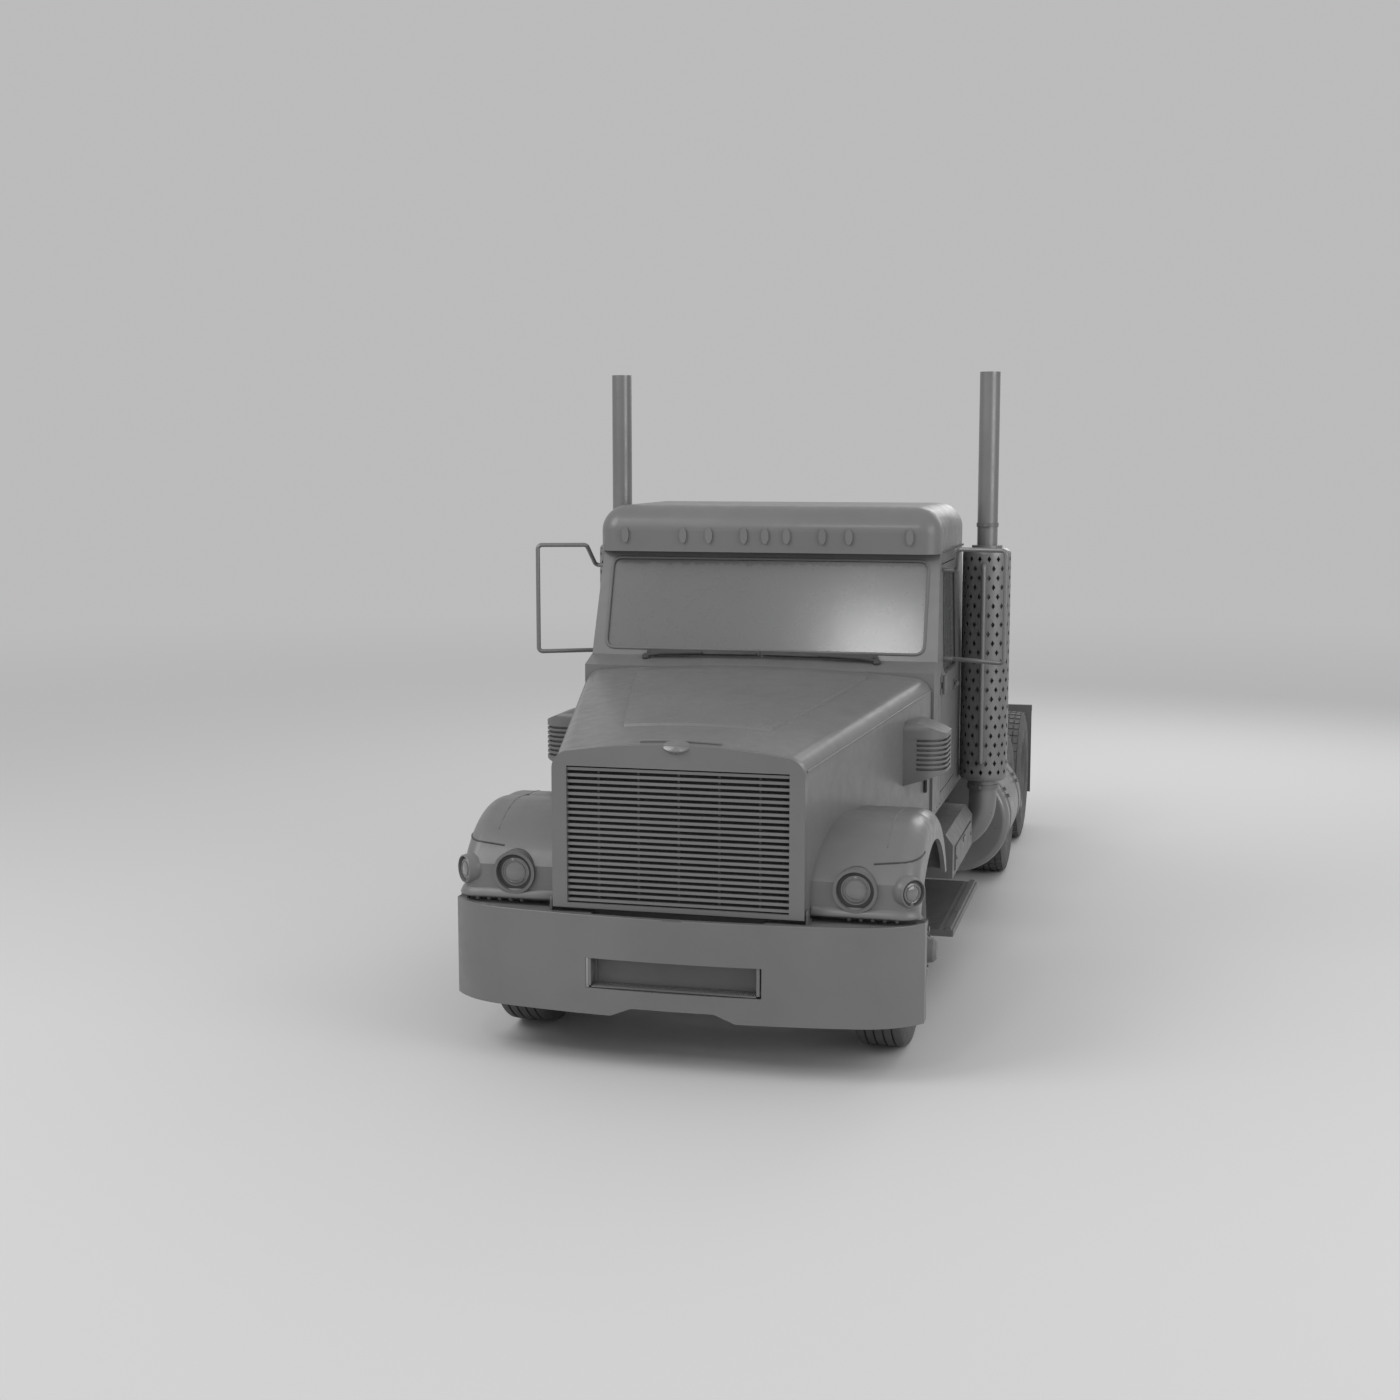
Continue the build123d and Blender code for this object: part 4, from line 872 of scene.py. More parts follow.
@dataclass
class RoadWheels:
    """Tyres and wheel hardware on all three axles."""

    axle_z: float = 0.515
    steer_y: float = -2.845
    steer_x: float = 0.970
    drive_ys: tuple[float, float] = (1.655, 2.975)
    drive_xs: tuple[float, float] = (1.060, 0.725)
    steer_bolt_x: float = 1.1705
    drive_bolt_x: float = 0.9995
    bolt_ring: float = 0.088

    def fittings(self, side: Side, name: str, x: float, y: float) -> Shape:
        """Start a wheel's fittings with the ring of small bolts round its hub cap.

        Args:
            side: Which side of the truck.
            name: The piece's name, without its side.
            x: How far out the bolts stand.
            y: The axle's place.

        Returns:
            The piece, not placed yet.
        """
        shape = Shape(f"{name}_{side.word}", SATIN_METAL)
        shape.ring(Head.BOLT, 8, (0.0085, 0.0085, 0.014), side.at(x, y, self.axle_z), self.bolt_ring)
        return shape

    def build(self) -> None:
        """Make the tyres and the small hardware of every wheel."""
        for side in Side:
            body = f"front_wheel_{side.word}"
            tyre = Shape(f"steer_tyre_{side.word}", RUBBER)
            Tyre(Tread.RIBBED).build(tyre, side.at(self.steer_x, self.steer_y, self.axle_z))
            tyre.place(body, replaces=[f"front_tyre_{side.word}"], crease=28)
            fittings = self.fittings(side, "steer_wheel_fittings", self.steer_bolt_x, self.steer_y)
            foot = side.at(self.steer_x + 0.07, self.steer_y, self.axle_z + 0.236)
            fittings.tube([foot, foot + side.at(0.03, 0, -0.012), foot + side.at(0.06, 0, -0.03)], 0.005, 8)
            fittings.place(body)
            for number, y in enumerate(self.drive_ys, start=1):
                body = f"drive_wheel_{number}_{side.word}"
                tyres = Shape(f"dual_tyres_{number}_{side.word}", RUBBER)
                for x in self.drive_xs:
                    Tyre(Tread.LUGGED).build(tyres, side.at(x, y, self.axle_z))
                tyres.place(body, replaces=[f"drive_tyres_{number}_{side.word}"], crease=28)
                self.fittings(side, f"drive_wheel_fittings_{number}", self.drive_bolt_x, y).place(body)


@dataclass
class GlassSeals:
    """Rubber seals round the fixed windows and the door windows."""

    screen_foot: tuple[float, float] = (-1.620, 1.912)
    screen_head: tuple[float, float] = (-1.415, 2.530)
    screen_half: float = 0.968
    screen_z: tuple[float, float] = (1.950, 2.488)
    corner: float = 0.06
    rear_y: float = -0.295
    rear_half: float = 0.480
    rear_z: tuple[float, float] = (1.960, 2.340)
    side_x: float = 1.050
    side_lean: float = 0.020
    door_y: tuple[float, float] = (-1.340, -0.740)
    door_z: tuple[float, float] = (1.810, 2.415)

    def rise(self, z: float) -> float:
        """Return a height's share of the way from the windscreen's foot to its head."""
        return (z - self.screen_foot[1]) / (self.screen_head[1] - self.screen_foot[1])

    def screen_y(self, z: float) -> float:
        """Return where the cab's raked front lies at a height."""
        return self.screen_foot[0] + self.rise(z) * (self.screen_head[0] - self.screen_foot[0])

    def frame(self, half: float, low: float, high: float) -> list[Vector]:
        """Return a rounded window outline in X and Z."""
        return rounded([(-half, 0, low), (half, 0, low), (half, 0, high), (-half, 0, high)], self.corner)

    def build(self) -> None:
        """Make the seals of the windscreen, rear window and doors."""
        fixed = Shape("window_seals", TRIM)
        screen = [(p.x, self.screen_y(p.z), p.z) for p in self.frame(self.screen_half, *self.screen_z)]
        fixed.tube(screen, 0.009, 10, closed=True)
        rear = [(p.x, self.rear_y, p.z) for p in self.frame(self.rear_half, *self.rear_z)]
        fixed.tube(rear, 0.010, 8, closed=True)
        fixed.place("chassis")
        (front, back), (low, high) = self.door_y, self.door_z
        corners = [
            (0, front, low + 0.04), (0, front + 0.12, low), (0, back, low),
            (0, back, high), (0, front + 0.06, high), (0, front, low + 0.26),
        ]
        for side in Side:
            seal = Shape(f"door_window_seal_{side.word}", SEAL)
            outline = rounded(corners, 0.035)
            lean = self.side_lean
            path = [side.at(self.side_x - lean * max(0.0, self.rise(p.z)), p.y, p.z) for p in outline]
            seal.tube(path, 0.008, 8, closed=True)
            seal.place(f"door_{side.word}")


@dataclass
class BonnetTrim:
    """Seams, fixings and nets on the bonnet and its fenders."""

    nodes: Mapping[str, bpy.types.Object]
    front_y: float = -3.545
    rear_y: float = -1.785
    shoulder_front: tuple[float, float] = (0.560, 1.535)
    shoulder_rear: tuple[float, float] = (0.940, 1.740)
    shoulder_radius: float = 0.095
    bead_angle: float = 14.0
    fender_y: float = -3.498
    panel_half: tuple[float, float] = (0.400, 0.690)
    panel_y: tuple[float, float] = (-3.195, -1.915)
    panel_rise: float = 0.013
    nose: tuple[float, float] = (0.657, -2.967)
    lip_z: float = 0.826
    lip_corner: tuple[float, float] = (1.094, -3.404)
    lip_section: tuple[tuple[float, float], ...] = (
        (-0.004, 0.052), (0.004, 0.046), (0.013, 0.034), (0.021, 0.018),
        (0.022, 0.010), (0.018, 0.004), (0.008, 0.001), (-0.004, 0.001),
    )
    slat_half: float = 0.576
    slat_z: tuple[float, float] = (0.845, 1.551)

    def __post_init__(self) -> None:
        """Index the surfaces that the trim is seated on."""
        self.fenders = Skin(self.nodes["fenders"])
        self.shell = Skin(self.nodes["hood_shell"])

    def seams(self) -> None:
        """Lay the raised seams on the bonnet's shoulders and the slits and ridges on the fenders."""
        seams = Shape("bonnet_seams", PAINT)
        slits = Shape("fender_slits", SEAL)
        bead = math.radians(self.bead_angle)
        out, up = self.shoulder_radius * math.cos(bead), self.shoulder_radius * math.sin(bead)
        for side in Side:
            ends = ((self.shoulder_front, self.front_y + 0.004), (self.shoulder_rear, self.rear_y - 0.004))
            seams.tube([side.at(x + out, y, z + up) for (x, z), y in ends], 0.0055, 10)
            ridge = [self.fenders.hit(side.at(1.03, y / 100, 2.0), DOWN) for y in range(-336, -255, 8)]
            seams.tube(ridge, 0.003, 6)
            slit = []
            for angle in range(34, 65, 3):
                way = side.ahead(angle)
                start = side.at(*self.nose, 1.088 + (angle - 34) * 0.0011) + way
                slit.append(self.fenders.hit(start, -way))
            slits.tube(slit, 0.0055, 6)
        seams.place("hood")
        slits.place("hood")

    def lip(self) -> None:
        """Roll a rounded lip along each fender's front foot, from the grille round the corner."""
        lips = Shape("fender_lips", PAINT)
        aim_z = self.lip_z + 0.012
        for side in Side:
            corner_x, y = self.lip_corner
            ways = [(side.at(0.672 + step * 0.034, y, aim_z), side.ahead(0)) for step in range(13)]
            ways += [(side.at(corner_x, y, aim_z), side.ahead(turn)) for turn in range(10, 91, 10)]
            last = len(ways) - 1
            points = []
            for step, (middle, out) in enumerate(ways):
                foot = self.fenders.hit(middle + out, -out)
                shrink = min(1.0, 0.35 + step * 0.25, 0.35 + (last - step) * 0.25)
                base = Vector((foot.x, foot.y, self.lip_z))
                for proud, up in self.lip_section:
                    points.append(base + Vector((0, 0, up)) + out * (proud * shrink if proud > 0 else proud))
            size = len(self.lip_section)
            faces = [tuple(range(size)), tuple(range(last * size, len(points)))]
            lips.add(points, faces + bands(len(ways), size, closed=True, looped=False))
        lips.place("hood", crease=50)

    def fixings(self) -> None:
        """Set the round fixings under each fender's front lip, and the bonnet's rubber catches."""
        bolts = Shape("fender_fixings", SATIN_METAL)
        catches = Shape("bonnet_catches", SEAL)
        stud = [(0, 0), (0, 0.010), (-0.010, 0.0115), (-0.016, 0.009), (-0.016, 0)]
        for side in Side:
            for x in (0.86, 0.92, 0.98, 1.04, 1.10):
                bolts.lathe(stud, side.at(x, self.fender_y, self.lip_z), UP, 14)
            plate = self.shell.hit(side.at(1.6, self.rear_y - 0.09, 1.26), side.at(-1, 0, 0))
            catches.block(plate + side.at(0.008, 0, 0), (0.016, 0.034, 0.15))
            catches.block(plate + side.at(0.016, 0, 0.05), (0.016, 0.05, 0.03))
        bolts.place("hood")
        catches.place("hood", bevel=0.004)

    def panel(self) -> None:
        """Raise the flat panel on top of the bonnet."""
        panel = Shape("bonnet_panel", PAINT)
        shares = [0, 0.008] + [step / 12 for step in range(1, 12)] + [0.992, 1]
        points = []
        for along in shares:
            y = self.panel_y[0] + along * (self.panel_y[1] - self.panel_y[0])
            half = self.panel_half[0] + along * (self.panel_half[1] - self.panel_half[0])
            for across in shares:
                lift = -0.003 if along in (0, 1) or across in (0, 1) else self.panel_rise
                points.append(self.shell.hit((half * (2 * across - 1), y, 2.2), DOWN, lift))
        panel.add(points, bands(len(shares), len(shares), closed=False, looped=False))
        panel.place("hood", crease=20)

    def emblem(self) -> None:
        """Set the blank oval on the grille's top edge, with the thin bar behind it."""
        emblem = Shape("blank_emblem", BRIGHT_METAL)
        oval = [(-0.02, 0), (-0.02, 0.070), (0.004, 0.070), (0.011, 0.061), (0.013, 0)]
        emblem.lathe(oval, (0, 0, 0), Vector((0, -1, 1)), 40)
        emblem.points = [Vector((p.x, p.y * 0.55 - 3.600, p.z * 0.55 + 1.670)) for p in emblem.points]
        emblem.place("hood")
        bar = Shape("emblem_bar", BRIGHT_METAL)
        bar.tube([self.shell.hit((x / 100, -3.515, 2.2), DOWN, 0.005) for x in range(-21, 22, 3)], 0.010, 10)
        bar.place("hood")

    def net(self) -> None:
        """Stretch the dark insect net behind the slats, and stand the stays before it."""
        low, high = self.slat_z
        net = Shape("insect_net", NET)
        net.block((0, self.front_y - 0.006, (low + high) / 2), (2 * self.slat_half, 0.003, high - low))
        net.place("hood")
        stays = Shape("slat_stays", SATIN_METAL)
        ends = [(x, self.front_y - 0.0105, (low + high) / 2 - 0.01) for x in (-0.42, 0.42)]
        stays.row(Head.BLOCK, 5, (0.012, 0.008, high - low - 0.03), *ends)
        stays.place("hood")

    def build(self) -> None:
        """Make all of the bonnet's trim."""
        for make in (self.seams, self.lip, self.fixings, self.panel, self.emblem, self.net):
            make()


@dataclass
class Lamps:
    """Lenses of the headlamps, and the lamps on the fenders' corners."""

    head: tuple[float, float, float] = (0.893, -3.497, 0.965)
    head_radius: float = 0.0945
    lens_share: float = 0.80
    corner: tuple[float, float, float] = (1.168, -3.475, 0.962)
    corner_turn: float = 45.0
    corner_radius: float = 0.074
    bezel: float = 0.007
    reach: float = 0.020

    def dome(self, shape: Shape, radius: float, height: float, origin: Point, axis: Point) -> None:
        """Add a shallow dome with a raised ring round an inner disc.

        Args:
            shape: The piece.
            radius: The dome's radius.
            height: Its height.
            origin: Its foot's middle.
            axis: The way that it faces.
        """
        profile = [(0.0, radius), (0.004, radius * 0.985)]
        profile += [(height * (1 - share**2), radius * share) for share in (0.92, 0.84, 0.78)]
        ring = height * (1 - 0.74**2)
        profile += [(ring + 0.004, radius * 0.75), (ring + 0.004, radius * 0.72), (ring, radius * 0.69)]
        profile += [(height * (1 - share**2) * 0.92, radius * share) for share in (0.6, 0.45, 0.3, 0.15)]
        profile.append((height * 0.92, 0))
        shape.lathe(profile, origin, axis)

    def build(self) -> None:
        """Make the lamps."""
        lenses = Shape("front_lamp_lenses", LENS)
        housings = Shape("corner_lamp_housings", PAINT)
        wells = Shape("lamp_wells", SEAL)
        outer = self.corner_radius
        inner = outer - self.bezel - 0.002
        rim = [(-0.075, 0), (-0.075, outer), (-0.032, outer * 1.16), (-0.012, outer * 1.07)]
        rim += [(self.reach - 0.004, outer), (self.reach, outer - 0.004), (self.reach, outer - self.bezel)]
        rim += [(0.004, inner), (0.004, 0)]
        for side in Side:
            head = side.at(*self.head)
            wells.drum(self.head_radius, (-0.004, 0.001), head, AHEAD)
            self.dome(lenses, self.head_radius * self.lens_share, 0.020, head, AHEAD)
            out, centre = side.ahead(self.corner_turn), side.at(*self.corner)
            housings.lathe(rim, centre, out)
            wells.drum(inner, (0.001, 0.005), centre, out)
            self.dome(lenses, inner * self.lens_share, 0.014, centre + out * 0.005, out)
        for shape in (housings, wells, lenses):
            shape.place("hood")


@dataclass
class Pods:
    """Louvred air cleaner pods on the bonnet's sides."""

    inner_x: tuple[float, float] = (0.930, 0.992)
    outer_x: float = 1.172
    y: tuple[float, float] = (-2.225, -1.925)
    z: tuple[float, float] = (1.270, 1.640)
    bend: float = 0.125
    dome: float = 0.075
    slant: float = 0.085
    crown: float = 0.055
    louvre_z: tuple[float, float] = (1.368, 1.556)
    louvre_count: int = 7
    louvre_height: float = 0.014
    louvre_depth: float = 0.022

    def arc(self, inset: float) -> list[tuple[float, float]]:
        """Return the outer front corner's points, from the front round to the side.

        Args:
            inset: How far the corner lies inside the pod's own.

        Returns:
            The points, seen from above.
        """
        turns = [math.radians(90 * step / 9) for step in range(10)]
        x, y, reach = self.outer_x - self.bend, self.y[0] + self.bend, self.bend - inset
        return [(x + math.sin(turn) * reach, y - math.cos(turn) * reach) for turn in turns]

    def plan(self) -> list[tuple[float, float]]:
        """Return a pod's outline seen from above."""
        back = [(self.outer_x, self.y[1]), (self.inner_x[1], self.y[1]), (self.inner_x[0], self.y[0])]
        return self.arc(0) + back

    def slot(self) -> list[tuple[float, float]]:
        """Return the outline of the air gap over a louvre.

        Returns:
            The outline's points, seen from above.
        """
        start, front = self.inner_x[0] + 0.085, self.y[0] - 0.01
        reach, back = self.outer_x + 0.02, self.y[1] - 0.03
        outer = [(start, front), (reach, front), (reach, back), (self.outer_x - self.louvre_depth, back)]
        return outer + self.arc(self.louvre_depth)[::-1] + [(start, self.y[0] + self.louvre_depth)]

    def moulds(self, side: Side) -> list[Shape]:
        """Return what a pod is pressed into: its section seen from ahead, and from the side.

        Args:
            side: Which pod.

        Returns:
            The two moulds.
        """
        (front, back), (low, high) = self.y, self.z
        near, far = self.inner_x[0] - 0.01, self.outer_x + 0.01
        domed = [(near, low), (far, low + self.slant)]
        for share in (step / 12 for step in range(13)):
            domed.append((far + share * (near - far), high - self.dome * (1 - share) ** 2))
        mould = Shape("mould", SATIN_METAL)
        mould.prism([side.at(x, front - 0.02, z) for x, z in domed], (0, back - front + 0.04, 0))
        nosed = [(back + 0.02, low - 0.01), (front, low - 0.01)]
        for turn in (math.radians(90 * step / 8) for step in range(9)):
            back_off, drop = self.crown * (1 - math.cos(turn)), self.crown * (1 - math.sin(turn))
            nosed.append((front + back_off, high - drop))
        nosed.append((back + 0.02, high))
        press = Shape("press", SATIN_METAL)
        press.prism([side.at(self.inner_x[0] - 0.02, y, z) for y, z in nosed], side.at(0.30, 0, 0))
        return [mould, press]

    def build(self) -> None:
        """Make both pods."""
        pods = Shape("louvred_pods", SATIN_METAL)
        pitch = (self.louvre_z[1] - self.louvre_z[0]) / self.louvre_count
        for side in Side:
            pod = Shape("pod", SATIN_METAL)
            pod.prism([side.at(x, y, self.z[0]) for x, y in self.plan()], (0, 0, self.z[1] - self.z[0]))
            for mould in self.moulds(side):
                pod.carve(mould, "INTERSECT")
            gaps = Shape("gaps", SATIN_METAL)
            for row in range(self.louvre_count):
                z = self.louvre_z[0] + row * pitch
                gaps.prism([side.at(x, y, z) for x, y in self.slot()], (0, 0, self.louvre_height))
            pod.carve(gaps)
            pods.add(pod.points, pod.faces)
        pods.place("hood", replaces=["air_cleaners"], crease=30)


@dataclass
class StackGuards:
    """Guards with diamond holes round the exhaust mufflers, each with its grab tube."""

    radius: float = 0.152
    wall: float = 0.004
    z: tuple[float, float] = (1.035, 2.520)
    rounding: float = 0.034
    neck: float = 0.096
    columns: int = 16
    rows: int = 24
    hole: tuple[float, float] = (0.013, 0.020)
    grab_z: tuple[float, float] = (1.165, 2.42)
    grab_gap: float = 0.034

    def __post_init__(self) -> None:
        """Work out the height of one cell."""
        self.pitch = (self.z[1] - self.z[0] - 2 * self.rounding) / self.rows

    def cell(self, shape: Shape, side: Side, turn: float, low: float) -> None:
        """Add one stretch of sheet round one diamond hole.

        Args:
            shape: The piece.
            side: Which stack.
            turn: The cell's middle angle.
            low: The height of its lower edge.
        """
        half = math.pi / self.columns
        lean, rise = self.hole[0] / self.radius, self.hole[1]
        middle, high = low + self.pitch / 2, low + self.pitch
        around = [(-half, low), (0, low), (half, low), (half, high), (0, high), (-half, high)]
        diamond = [(0, middle - rise), (lean, middle), (0, middle + rise), (-lean, middle)]
        centre = side.at(*STACK, 0)
        points = []
        for radius in (self.radius, self.radius - self.wall):
            for swing, z in around + diamond:
                angle = turn + swing
                points.append(centre + Vector((radius * math.cos(angle), radius * math.sin(angle), z)))
        sheet = [(0, 1, 6, 9), (1, 2, 7, 6), (2, 3, 7), (3, 4, 8, 7), (4, 5, 9, 8), (5, 0, 9)]
        faces = sheet + [tuple(10 + k for k in reversed(face)) for face in sheet]
        faces += [(6, 7, 17, 16), (7, 8, 18, 17), (8, 9, 19, 18), (9, 6, 16, 19)]
        shape.add(points, faces)

    def ends(self, shape: Shape, side: Side) -> None:
        """Add a guard's rounded ends and their necks.

        Args:
            shape: The piece.
            side: Which stack.
        """
        turns = [math.radians(90 * step / 6) for step in range(7)]
        middle, outer = self.radius - self.rounding, self.rounding
        inner = outer - self.wall
        for z, way in ((self.z[0], 1), (self.z[1], -1)):
            profile = []
            for turn in turns:
                profile.append((way * outer * (1 - math.sin(turn)), middle + outer * math.cos(turn)))
            profile += [(0, self.neck), (way * self.wall, self.neck)]
            for turn in reversed(turns):
                profile.append((way * (outer - inner * math.sin(turn)), middle + inner * math.cos(turn)))
            shape.lathe(profile, side.at(*STACK, z), UP, 2 * self.columns)

    def build(self) -> None:
        """Make both guards and their grab tubes."""
        guards = Shape("pierced_guards", BRIGHT_METAL)
        tubes = Shape("guard_grab_tubes", BRIGHT_METAL)
        for side in Side:
            for row in range(self.rows):
                for column in range(self.columns):
                    turn = math.tau * (column + row % 2 / 2) / self.columns
                    self.cell(guards, side, turn, self.z[0] + self.rounding + row * self.pitch)
            self.ends(guards, side)
            (low, high), back = self.grab_z, STACK[1] - self.radius
            path = [(back, low), (back - self.grab_gap, low), (back - self.grab_gap, high), (back, high)]
            tubes.tube(hoop([side.at(STACK[0], y, z) for y, z in path], 0.026), 0.016, 14)
        guards.place("chassis", replaces=["exhaust_guards"], crease=35)
        tubes.place("chassis")


@dataclass
class Wipers:
    """Two wipers parked along the foot of the windscreen."""

    pivot_x: float = 0.700
    reach: float = 0.697
    foot: tuple[float, float] = (-1.660, 1.893)
    blade: tuple[float, float] = (-1.640, 1.936)

    def build(self) -> None:
        """Make the arms, blades and pivots."""
        wipers = Shape("wipers", SEAL)
        middle = self.pivot_x - self.reach / 2
        cap = [(-0.02, 0), (-0.02, 0.023), (0.022, 0.023), (0.032, 0.014), (0.032, 0)]
        for side in Side:
            y, z = self.foot
            wipers.lathe(cap, side.at(self.pivot_x, y, z), (0, -0.5, 1), 18)
            arm = [(self.pivot_x, y - 0.010, z + 0.022), (self.pivot_x - 0.10, y - 0.010, z + 0.036)]
            y, z = self.blade
            arm.append((middle, y - 0.024, z + 0.002))
            wipers.tube([side.at(*point) for point in arm], 0.009, 10)
            lean = (-0.3, side.value * 0.010, 0)
            wipers.block(side.at(middle, y, z), (self.reach, 0.010, 0.030), lean)
            wipers.block(side.at(middle, y - 0.012, z - 0.002), (self.reach * 0.94, 0.016, 0.014), lean)
        wipers.place("chassis", bevel=0.002)


@dataclass
class CabTrim:
    """Knobs on the mirror loops, and fastenings and handles on the cab and its doors."""

    side_x: float = 1.050
    rear_y: float = -0.295
    front_y: float = -1.770
    door_rear_y: float = -0.675
    drip_z: float = 2.541
    sill_z: float = 1.045
    wall_z: tuple[float, float] = (1.08, 2.46)
    handle_z: float = 1.690
    knob: tuple[float, float, float] = (1.425, -1.525, 2.180)

    def knobs(self) -> None:
        """Put a knob on each mirror loop's upright."""
        knobs = Shape("mirror_knobs", BRIGHT_METAL)
        end = [(0.014, 0.0122), (0.022, 0.010), (0.022, 0)]
        profile = [(-along, radius) for along, radius in reversed(end)] + end
        for side in Side:
            knobs.lathe(profile, side.at(*self.knob), UP, 16)
        knobs.place("chassis")

    def rivets(self) -> None:
        """Rivet the roof's drip, the cab's sills and its rear wall, and lay strips on that wall."""
        rivets = Shape("cab_rivets", PAINT)
        size = (0.0065, 0.0065, 0.005)
        x, y, (low, high) = self.side_x, self.rear_y, self.wall_z
        rows = [(22, (x, self.front_y + 0.36, self.drip_z), (x, y - 0.1, self.drip_z), TURNED_OUT)]
        rows.append((12, (x, self.front_y + 0.09, self.sill_z), (x, y - 0.06, self.sill_z), TURNED_OUT))
        rows += [(24, (near, y, low), (near, y, high), TURNED_BACK) for near in (0.98, 0.62)]
        for side in Side:
            for copies, start, end, turn in rows:
                rivets.row(Head.RIVET, copies, size, side.at(*start), side.at(*end), turn)
        rivets.row(Head.RIVET, 30, size, (-0.94, y, low), (0.94, y, low), TURNED_BACK)
        rivets.place("chassis")
        strips = Shape("cab_rear_strips", PAINT)
        for side in Side:
            strips.block(side.at(0.80, y + 0.005, 1.78), (0.06, 0.010, 1.3))
        strips.place("chassis", bevel=0.004)

    def handles(self) -> None:
        """Fit a latch plate with its lever, a lining and an arm rest to each door."""
        x, y, z = self.side_x, self.door_rear_y, self.handle_z
        latch_blocks = (
            ((x + 0.003, y - 0.105, z), (0.008, 0.15, 0.056)),
            ((x + 0.022, y - 0.115, z + 0.004), (0.012, 0.118, 0.024)),
            ((x + 0.012, y - 0.063, z + 0.004), (0.02, 0.018, 0.024)),
        )
        lining_blocks = (
            ((x - 0.056, y - 0.36, 1.42), (0.012, 0.52, 0.52)),
            ((x - 0.086, y - 0.34, 1.50), (0.055, 0.36, 0.045)),
        )
        kinds = (("latch", BRIGHT_METAL, latch_blocks, 0.003), ("lining", TRIM, lining_blocks, 0.005))
        for side in Side:
            for kind, finish, blocks, bevel in kinds:
                shape = Shape(f"door_{kind}_{side.word}", finish)
                for centre, size in blocks:
                    shape.block(side.at(*centre), size)
                shape.place(f"door_{side.word}", bevel=bevel)

    def build(self) -> None:
        """Make all of the cab's trim."""
        for make in (self.knobs, self.rivets, self.handles):
            make()


@dataclass
class Cabin:
    """Seats, gauges and the steering wheel's cap."""

    seat_x: float = 0.480
    seat_y: float = -0.765
    floor_z: float = 1.090
    cushion: tuple[float, float, float] = (0.51, 0.51, 0.135)
    back: tuple[float, float, float] = (0.49, 0.125, 0.69)
    pad_steps: int = 18
    channel_x: float = 0.42
    gauge_place: tuple[float, float] = (-1.4725, 1.705)
    gauges: tuple[tuple[float, float], ...] = (
        (0.385, 0.046), (0.575, 0.046), (0.455, 0.022), (0.505, 0.022), (0.64, 0.02), (0.32, 0.02)
    )
    column_foot: tuple[float, float, float] = (0.480, -1.540, 1.600)
    column_length: float = 0.3243
    column_tilt: float = 42.0

    def swollen(self, cube: Sequence[float], crown: int) -> Vector:
        """Return a point of a cube, moved onto a crowned pad with two sewn channels.

        Args:
            cube: The point on a cube from -1 to 1.
            crown: The axis, 1 or 2, that the pad's crown faces along.

        Returns:
            The moved point.
        """
        length = sum(abs(value) ** 7 for value in cube) ** (1 / 7)
        point = Vector([value / length for value in cube])
        swell = 1 + 0.10 * (1 - point.x**2) * (1 - point[3 - crown] ** 2)
        seams = (-self.channel_x, self.channel_x)
        groove = sum(math.exp(-(((point.x - seam) / 0.035) ** 2)) for seam in seams)
        point[crown] *= swell * 0.91 * (1 - 0.11 * groove)
        return point

    def pad(self, name: str, centre: Point, size: Point, crown: int) -> None:
        """Make one cushion.

        Args:
            name: The cushion's name.
            centre: Its middle.
            size: Its three sides.
            crown: The axis, 1 or 2, that its crown faces along.
        """
        shape = Shape(name, CLOTH)
        grid = [2 * step / self.pad_steps - 1 for step in range(self.pad_steps + 1)]
        half = Vector(size) / 2
        for axis in range(3):
            for sign in (-1.0, 1.0):
                points = []
                for down in grid:
                    for across in grid:
                        cube = [0.0, 0.0, 0.0]
                        cube[axis] = sign
                        cube[(axis + 1) % 3] = across
                        cube[(axis + 2) % 3] = down
                        points.append(Vector(centre) + self.swollen(cube, crown) * half)
                shape.add(points, bands(len(grid), len(grid), closed=False, looped=False))
        shape.place("chassis", crease=70)

    def seats(self) -> None:
        """Make both seats."""
        bases = Shape("seat_bases", TRIM)
        y, z = self.seat_y, self.floor_z
        for side in Side:
            bases.block(side.at(self.seat_x, y - 0.01, z + 0.15), (0.38, 0.38, 0.30))
            bases.block(side.at(self.seat_x, y, z + 0.302), (0.50, 0.50, 0.02))
            self.pad(f"seat_cushion_{side.word}", side.at(self.seat_x, y, z + 0.372), self.cushion, 2)
            self.pad(f"seat_back_{side.word}", side.at(self.seat_x, y + 0.22, z + 0.725), self.back, 1)
        bases.place("chassis", bevel=0.012, replaces=["seats"])

    def controls(self) -> None:
        """Make the dashboard's gauges and the steering wheel's cap."""
        rims = Shape("gauge_rims", BRIGHT_METAL)
        faces = Shape("gauge_faces", LENS)
        way = Vector((0, 0.12, 0.03))
        for x, radius in self.gauges:
            rim = [(0, radius + 0.006), (0.012, radius + 0.005), (0.012, radius), (0.004, radius)]
            rims.lathe(rim, (x, *self.gauge_place), way, 28)
            faces.lathe([(0.005, radius), (0.006, 0)], (x, *self.gauge_place), way, 28)
        rims.place("chassis")
        faces.place("chassis")
        cap = Shape("steering_wheel_cap", TRIM)
        tilt = math.radians(self.column_tilt)
        axis = Vector((0, math.cos(tilt), math.sin(tilt)))
        middle = Vector(self.column_foot) + axis * self.column_length
        cap.lathe([(0, 0.055), (0.012, 0.053), (0.02, 0.04), (0.023, 0)], middle, axis, 32)
        cap.place("steering_wheel")

    def build(self) -> None:
        """Make all that shows inside the cab."""
        self.seats()
        self.controls()


